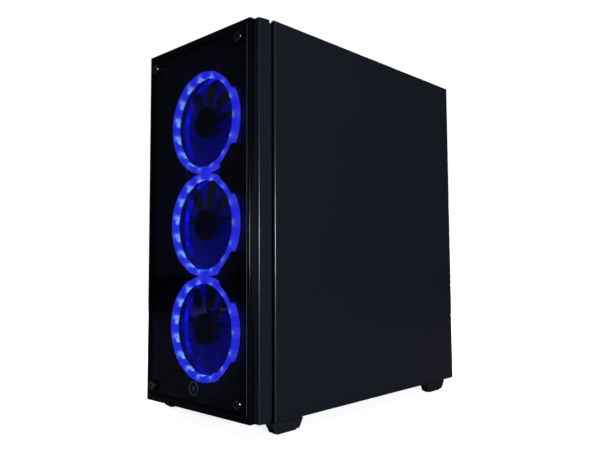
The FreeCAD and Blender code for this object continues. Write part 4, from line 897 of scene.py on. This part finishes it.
def board_drive_sockets(board):
    """Sockets for drive cables at the board's front edge."""
    face, edge, deep = board.face, board.y[0], 13.5
    body_x = (face - 8.6, face)
    ports = Solid()
    for step in range(4):
        z = board.z[0] + 74 + 9.5 * step
        if board.taken(edge + 7, z, 6.5, 3.6):
            continue
        for x_pair, z_pair in (((face - 8.6, face - 7.6), around(z, 7.4)), ((face - 1, face), around(z, 7.4)),
                               (body_x, (z - 3.7, z - 2.7)), (body_x, (z + 2.7, z + 3.7)),
                               ((face - 5, face - 3.8), around(z, 6.0))):
            ports.block(x_pair, (edge - 0.5, edge + deep), z_pair)
        ports.block(body_x, (edge + 9, edge + deep), around(z, 7.4))
    ports.piece("board_drive_sockets", "connector", "connector", 0.15)


def board_screws(board):
    screws = Solid()
    for z in (board.z[0] + 10, board.z[0] + 150, board.z[1] - 10):
        for y in (board.y[0] + 6, board.y[1] - 82, board.y[1] - 8):
            screws.rod((board.face - 2.0, y, z), "x", 3.3, 2.0, 28, 0.6)
            screws.rod((board.face - 2.3, y, z), "x", 1.2, 0.4, 6)
    screws.piece("board_screws", "chrome", "chrome")


def board_power_plug(board):
    """The main cable's plug, with a dent for each pair of wires, and its latch."""
    face, low, pitch, pairs = board.face, 274.4, 4.2, 12
    middle = 300
    y = (board.y[0] + 2.2, board.y[0] + 10.8)
    plug, clip = Solid(), Solid()
    plug.block((face - 26, face - 12.1), y, (low, 325.6))
    for step in range(pairs):
        plug.block((face - 26.4, face - 25.9), inset(y, 0.6), around(low + pitch * step + 2.4, 3.2))
    clip.block((face - 24, face - 8), (y[0] - 2.2, y[0] - 0.8), around(middle, 9))
    clip.block((face - 20, face - 17), (y[0] - 1.0, y[0] + 0.2), around(middle, 7))
    plug.piece("board_power_plug", "connector", "connector", 0.25)
    clip.piece("board_plug_clip", "connector", "connector", 0.3)


def board_components():
    """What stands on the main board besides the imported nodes. The order fixes the random draws."""
    board = Board()
    for part in (board_battery, board_chips, board_capacitors, board_chokes, board_small_parts, board_headers,
                 board_drive_sockets, board_screws, board_power_plug):
        part(board)


def memory_details():
    """Gold contacts and a ribbed spreader on each memory module."""
    low, high = millimetres("memory_modules")
    contacts, ribs = Solid(), Solid()
    thick, teeth = 6.4, 60
    for y in (low.y + thick / 2, high.y - thick / 2):
        for side in (-1, 1):
            for step in range(teeth):
                z = low.z + 8 + step * (high.z - low.z - 16) / (teeth - 1)
                contacts.block((high.x - 4.2, high.x - 0.8), around(y + side * 0.62, 0.08), around(z, 1.0))
            for step in range(5):
                x = low.x + 5 + 4.2 * step
                cut = 14 + 4 * step
                ribs.block((x, x + 2.0), around(y + side * thick / 2, 0.8), (low.z + cut, high.z - cut))
        ribs.block((low.x - 0.9, low.x + 1.2), around(y, thick - 2), (low.z + 20, high.z - 20))
    contacts.piece("memory_contacts", "gold", "memory")
    ribs.piece("memory_ribs", "memory", "memory", 0.25)


def graphics_details():
    """Backplate, side trim, power plug and fins of the graphics card."""
    low, high = millimetres("graphics_cover")
    board_low, board_high = millimetres("graphics_board")
    x, y = (low.x + 3, 60.0), (low.y + 3, high.y - 3)
    top = board_high.z
    rim, bars = 6, 9

    plate = Solid()
    plate.frame(round_rectangle(x, y, 4), round_rectangle(inset(x, rim), inset(y, rim), 3),
                "z", top + 0.05, top + 1.5)
    for step in range(bars + 1):
        place = y[0] + rim + (y[1] - y[0] - 2 * rim) / bars * step
        wide = 13.0 if step % 3 == 0 else 9.0
        plate.block(inset(x, 5), around(place, wide), (top + 0.1, top + 1.45))
    plate.piece("graphics_backplate", "dark_sink", "dark_sink", 0.3)

    screws = Solid()
    for a in inset(x, 10):
        for b in (y[0] + rim, (y[0] + y[1]) / 2, y[1] - rim):
            screws.rod((a, b, top + 1.4), "z", 2.4, 0.9, 24, 0.3)
    screws.piece("graphics_screws", "chrome", "chrome")

    trim = Solid()
    face, middle = low.x, (low.z + high.z) / 2
    for y_low, y_high, lean in ((y[0] + 44, y[0] + 124, 9.0), (y[0] + 132, y[1] - 8, -9.0)):
        below, above = middle - 9, middle + 9
        outline = [(y_low, below), (y_high - lean, below), (y_high, above), (y_low + lean, above)]
        trim.prism(outline, "x", face - 0.9, face + 0.3, 0.35)
    for step in range(7):
        place = y[0] + 10 + 4.2 * step
        below, above = low.z + 6, middle + 2
        outline = [(place, below), (place + 2.2, below), (place + 5.2, above), (place + 3.0, above)]
        trim.prism(outline, "x", face - 0.6, face + 0.3, 0.2)
    trim.piece("graphics_side_trim", "card_trim", "card_cover", 0.15)

    plug = Solid()
    plug_y, plug_z = board_low.y + 30, high.z - 12
    plug.block((face - 9, face + 0.5), around(plug_y, 18.5), around(plug_z, 8.8))
    plug.block((face - 6, face - 1), around(plug_y, 5), (plug_z + 4.3, plug_z + 6.4))
    plug.piece("graphics_power_plug", "connector", "connector", 0.3)

    stack, fins = Solid(), 52
    for step in range(fins):
        place = y[0] + 4 + step * (y[1] - y[0] - 8) / (fins - 1)
        stack.block(inset((low.x, high.x), 4), around(place, 0.5), (low.z + 22.1, board_low.z - 1.2))
    stack.piece("graphics_fins", "heatsink", "heatsink")


def cooler_details():
    """End plate, pipe caps and fan clips on the processor cooler."""
    low, high = millimetres("cooler_fins")
    pipes_low, _ = millimetres("cooler_heatpipes")
    y, z = (low.y, high.y), (low.z, high.z)
    plate = Solid()
    plate.frame(round_rectangle(inset(y, 1), inset(z, 3), 5), round_rectangle(inset(y, 10), inset(z, 34), 5),
                "x", low.x - 2.2, low.x - 0.05)
    plate.piece("cooler_end_plate", "dark_sink", "dark_sink", 0.35)
    caps = Solid()
    for y in [low.y + 12 + 12 * step for step in range(3)]:
        for side in (-1, 1):
            z = (low.z + high.z) / 2 + side * 38
            caps.rod((pipes_low.x - 1.8, y, z), "x", 3.0, 2.0, 24, 1.1)
    caps.piece("cooler_pipe_caps", "copper", "copper")
    clips = Solid()
    frame_low, frame_high = millimetres("cpu_fan_frame")
    wire = 0.7
    x, y = frame_low.x - 1.2, frame_low.y + 3
    for z in (frame_low.z + 7.5, frame_high.z - 7.5):
        path = [(x, y, z), (x, low.y + 10, z), (low.x + 1.0, low.y + 16, z)]
        for start, end in zip(path, path[1:]):
            clips.wire(start, end, wire, 10)
        clips.wire((x, y, z), (frame_low.x + 5, y - 2.5, z), wire, 10)
    clips.piece("cooler_clips", "chrome", "chrome")


# ------------ cables
def packed_ring(count, radius):
    """Places of strands in a round bundle."""
    places = []
    golden = math.pi * (3 - math.sqrt(5))
    for step in range(count):
        reach = radius * math.sqrt((step + 0.5) / count)
        places.append((reach * math.cos(golden * step), reach * math.sin(golden * step)))
    return places


def strands(node, route, rows, columns, pitch, flat, radius, bundle):
    """Sleeved wires that leave a plug side by side and gather into one bundle along a route.

    flat holds the directions in which the columns and the rows of the plug run.
    """
    name = node + "_strands"
    curve = bpy.data.curves.new(name, "CURVE")
    curve.dimensions = "3D"
    curve.bevel_depth = radius * MM
    curve.bevel_resolution = 3
    curve.use_fill_caps = True
    curve.resolution_u = 8
    round_places = packed_ring(rows * columns, bundle)
    spread_shares = (1.0, 0.85, 0.25)
    for number in range(rows * columns):
        row, column = number % rows, number // rows
        spread = flat[0] * ((column - (columns - 1) / 2) * pitch) + flat[1] * ((row - (rows - 1) / 2) * pitch)
        spline = curve.splines.new("NURBS")
        spline.points.add(len(route) - 1)
        for index, point in enumerate(route):
            after = Vector(route[min(index + 1, len(route) - 1)])
            before = Vector(route[max(index - 1, 0)])
            way = (after - before).normalized()
            side = way.cross(Vector((0.3, 0.2, 0.93))).normalized()
            gathered = side * round_places[number][0] + way.cross(side) * round_places[number][1]
            share = spread_shares[index] if index < len(spread_shares) else 0.0
            place = Vector(point) + spread * share + gathered * (1 - share)
            spline.points[index].co = (*(place * MM), 1)
        spline.order_u = 3
        spline.use_endpoint_u = True
    curve.materials.append(LOOKS["cable"])
    obj = link(bpy.data.objects.new(name, curve))
    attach(obj, "chassis")
    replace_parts(obj, node)


def cable_details():
    """Sleeved strands of the main board and graphics cables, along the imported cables' routes."""
    along, up = Vector((0, 1, 0)), Vector((0, 0, 1))
    face, y_range, _ = board_face()
    plug_y = y_range[0] + 6.5
    cable_y = y_range[0] - 16
    psu_low, psu_high = millimetres("power_supply_case")
    hole = (psu_low.x + 115.0, psu_low.y, psu_high.z - 16)
    low = psu_high.z - 12
    down = low + 54
    route = [(face - 26, plug_y, 300), (face - 38, plug_y, 300), (22, plug_y - 2, 296), (22, cable_y, 248),
             (38, cable_y, down), (38, cable_y, low), (hole[0] + 2, cable_y + 60, low),
             (hole[0] + 6, hole[1] + 4, hole[2])]
    strands("board_cable", route, 2, 12, 4.0, (up, along), 0.85, 3.6)
    card_low, card_high = millimetres("graphics_cover")
    x, y, z = card_low.x - 9, card_low.y + 32, card_high.z - 12
    route = [(x, y, z), (x - 10, y, z), (x - 20, y - 4, z - 16), (x - 20, y - 16, z - 46),
             (card_low.x - 8, cable_y - 4, 170), (18, cable_y, down - 2), (18, cable_y, low),
             (hole[0] - 10, cable_y + 60, low), (hole[0] - 6, hole[1] + 4, hole[2])]
    strands("graphics_cable", route, 2, 4, 4.2, (along, up), 0.9, 2.4)


# ------------ sockets
def socket_details():
    """Tongues and contacts in the front and rear ports."""
    face = board_face()[0]
    tongues, contacts = Solid(), Solid()
    outside = millimetres("rear_ports")[1].y
    pins = 4
    for low, height, wide in REAR_PORTS:
        count = max(1, wide // 15)
        share = (wide - 1) / count
        for step in range(count):
            x = face - 1 - share * (step + 0.5)
            middle = low + height / 2
            tongues.block(around(x, share - 6), (outside - 9, outside - 1.6), around(middle + 1.6, 1.8))
            for pin in range(pins):
                place = x - (share - 8) / 2 + pin * (share - 8) / (pins - 1)
                contacts.block(around(place, 0.9), (outside - 8, outside - 2.2), around(middle + 0.55, 0.35))
    tongues.piece("rear_port_tongues", "blue_socket", "connector", 0.2)
    contacts.piece("rear_port_contacts", "gold", "zinc")
    usb_low, usb_high = millimetres("usb_sockets")
    io_y = (usb_low.y + usb_high.y) / 2
    front, front_contacts = Solid(), Solid()
    for x in [usb_low.x + 7.2 + 20 * step for step in range(3)]:
        front.block(around(x, 11.8), around(io_y - 1.4, 2.1), (usb_high.z - 8, usb_high.z - 1.2))
        for pin in range(pins):
            place = x - 3.6 + pin * 2.4
            contact_z = (usb_high.z - 7, usb_high.z - 1.9)
            front_contacts.block(around(place, 1.0), around(io_y - 0.25, 0.3), contact_z)
    front.piece("front_port_tongues", "blue_socket", "connector", 0.15)
    front_contacts.piece("front_port_contacts", "gold", "zinc")


def drive_details():
    """Lid and screws of the solid state drive."""
    low, high = millimetres("solid_state_drive")
    lid, screws = Solid(), Solid()
    x, y = inset((low.x, high.x), 3), inset((low.y, high.y), 3)
    lid.prism(round_rectangle(x, y, 3), "z", high.z - 0.1, high.z + 0.5, 0.25)
    for a in inset(x, 4):
        for b in inset(y, 4):
            screws.rod((a, b, high.z + 0.45), "z", 1.9, 0.5, 20, 0.2)
    lid.piece("solid_drive_lid", "drive", "drive")
    screws.piece("solid_drive_screws", "chrome", "chrome")


def main():
    make_camera()
    make_stage()
    make_materials()
    for row in frame["record"]["subparts"]:
        node = NODES[row["node"]]
        look = OWN_LOOKS.get(row["node"], row["material_slot"])
        node.data.materials.clear()
        node.data.materials.append(LOOKS[look])
    front_filter()
    flat_filter("roof_filter", 6, 1, False)
    flat_filter("floor_filter", 14, 2, True)
    fan_details()
    glass_border()
    board_components()
    memory_details()
    graphics_details()
    cooler_details()
    cable_details()
    socket_details()
    drive_details()


main()
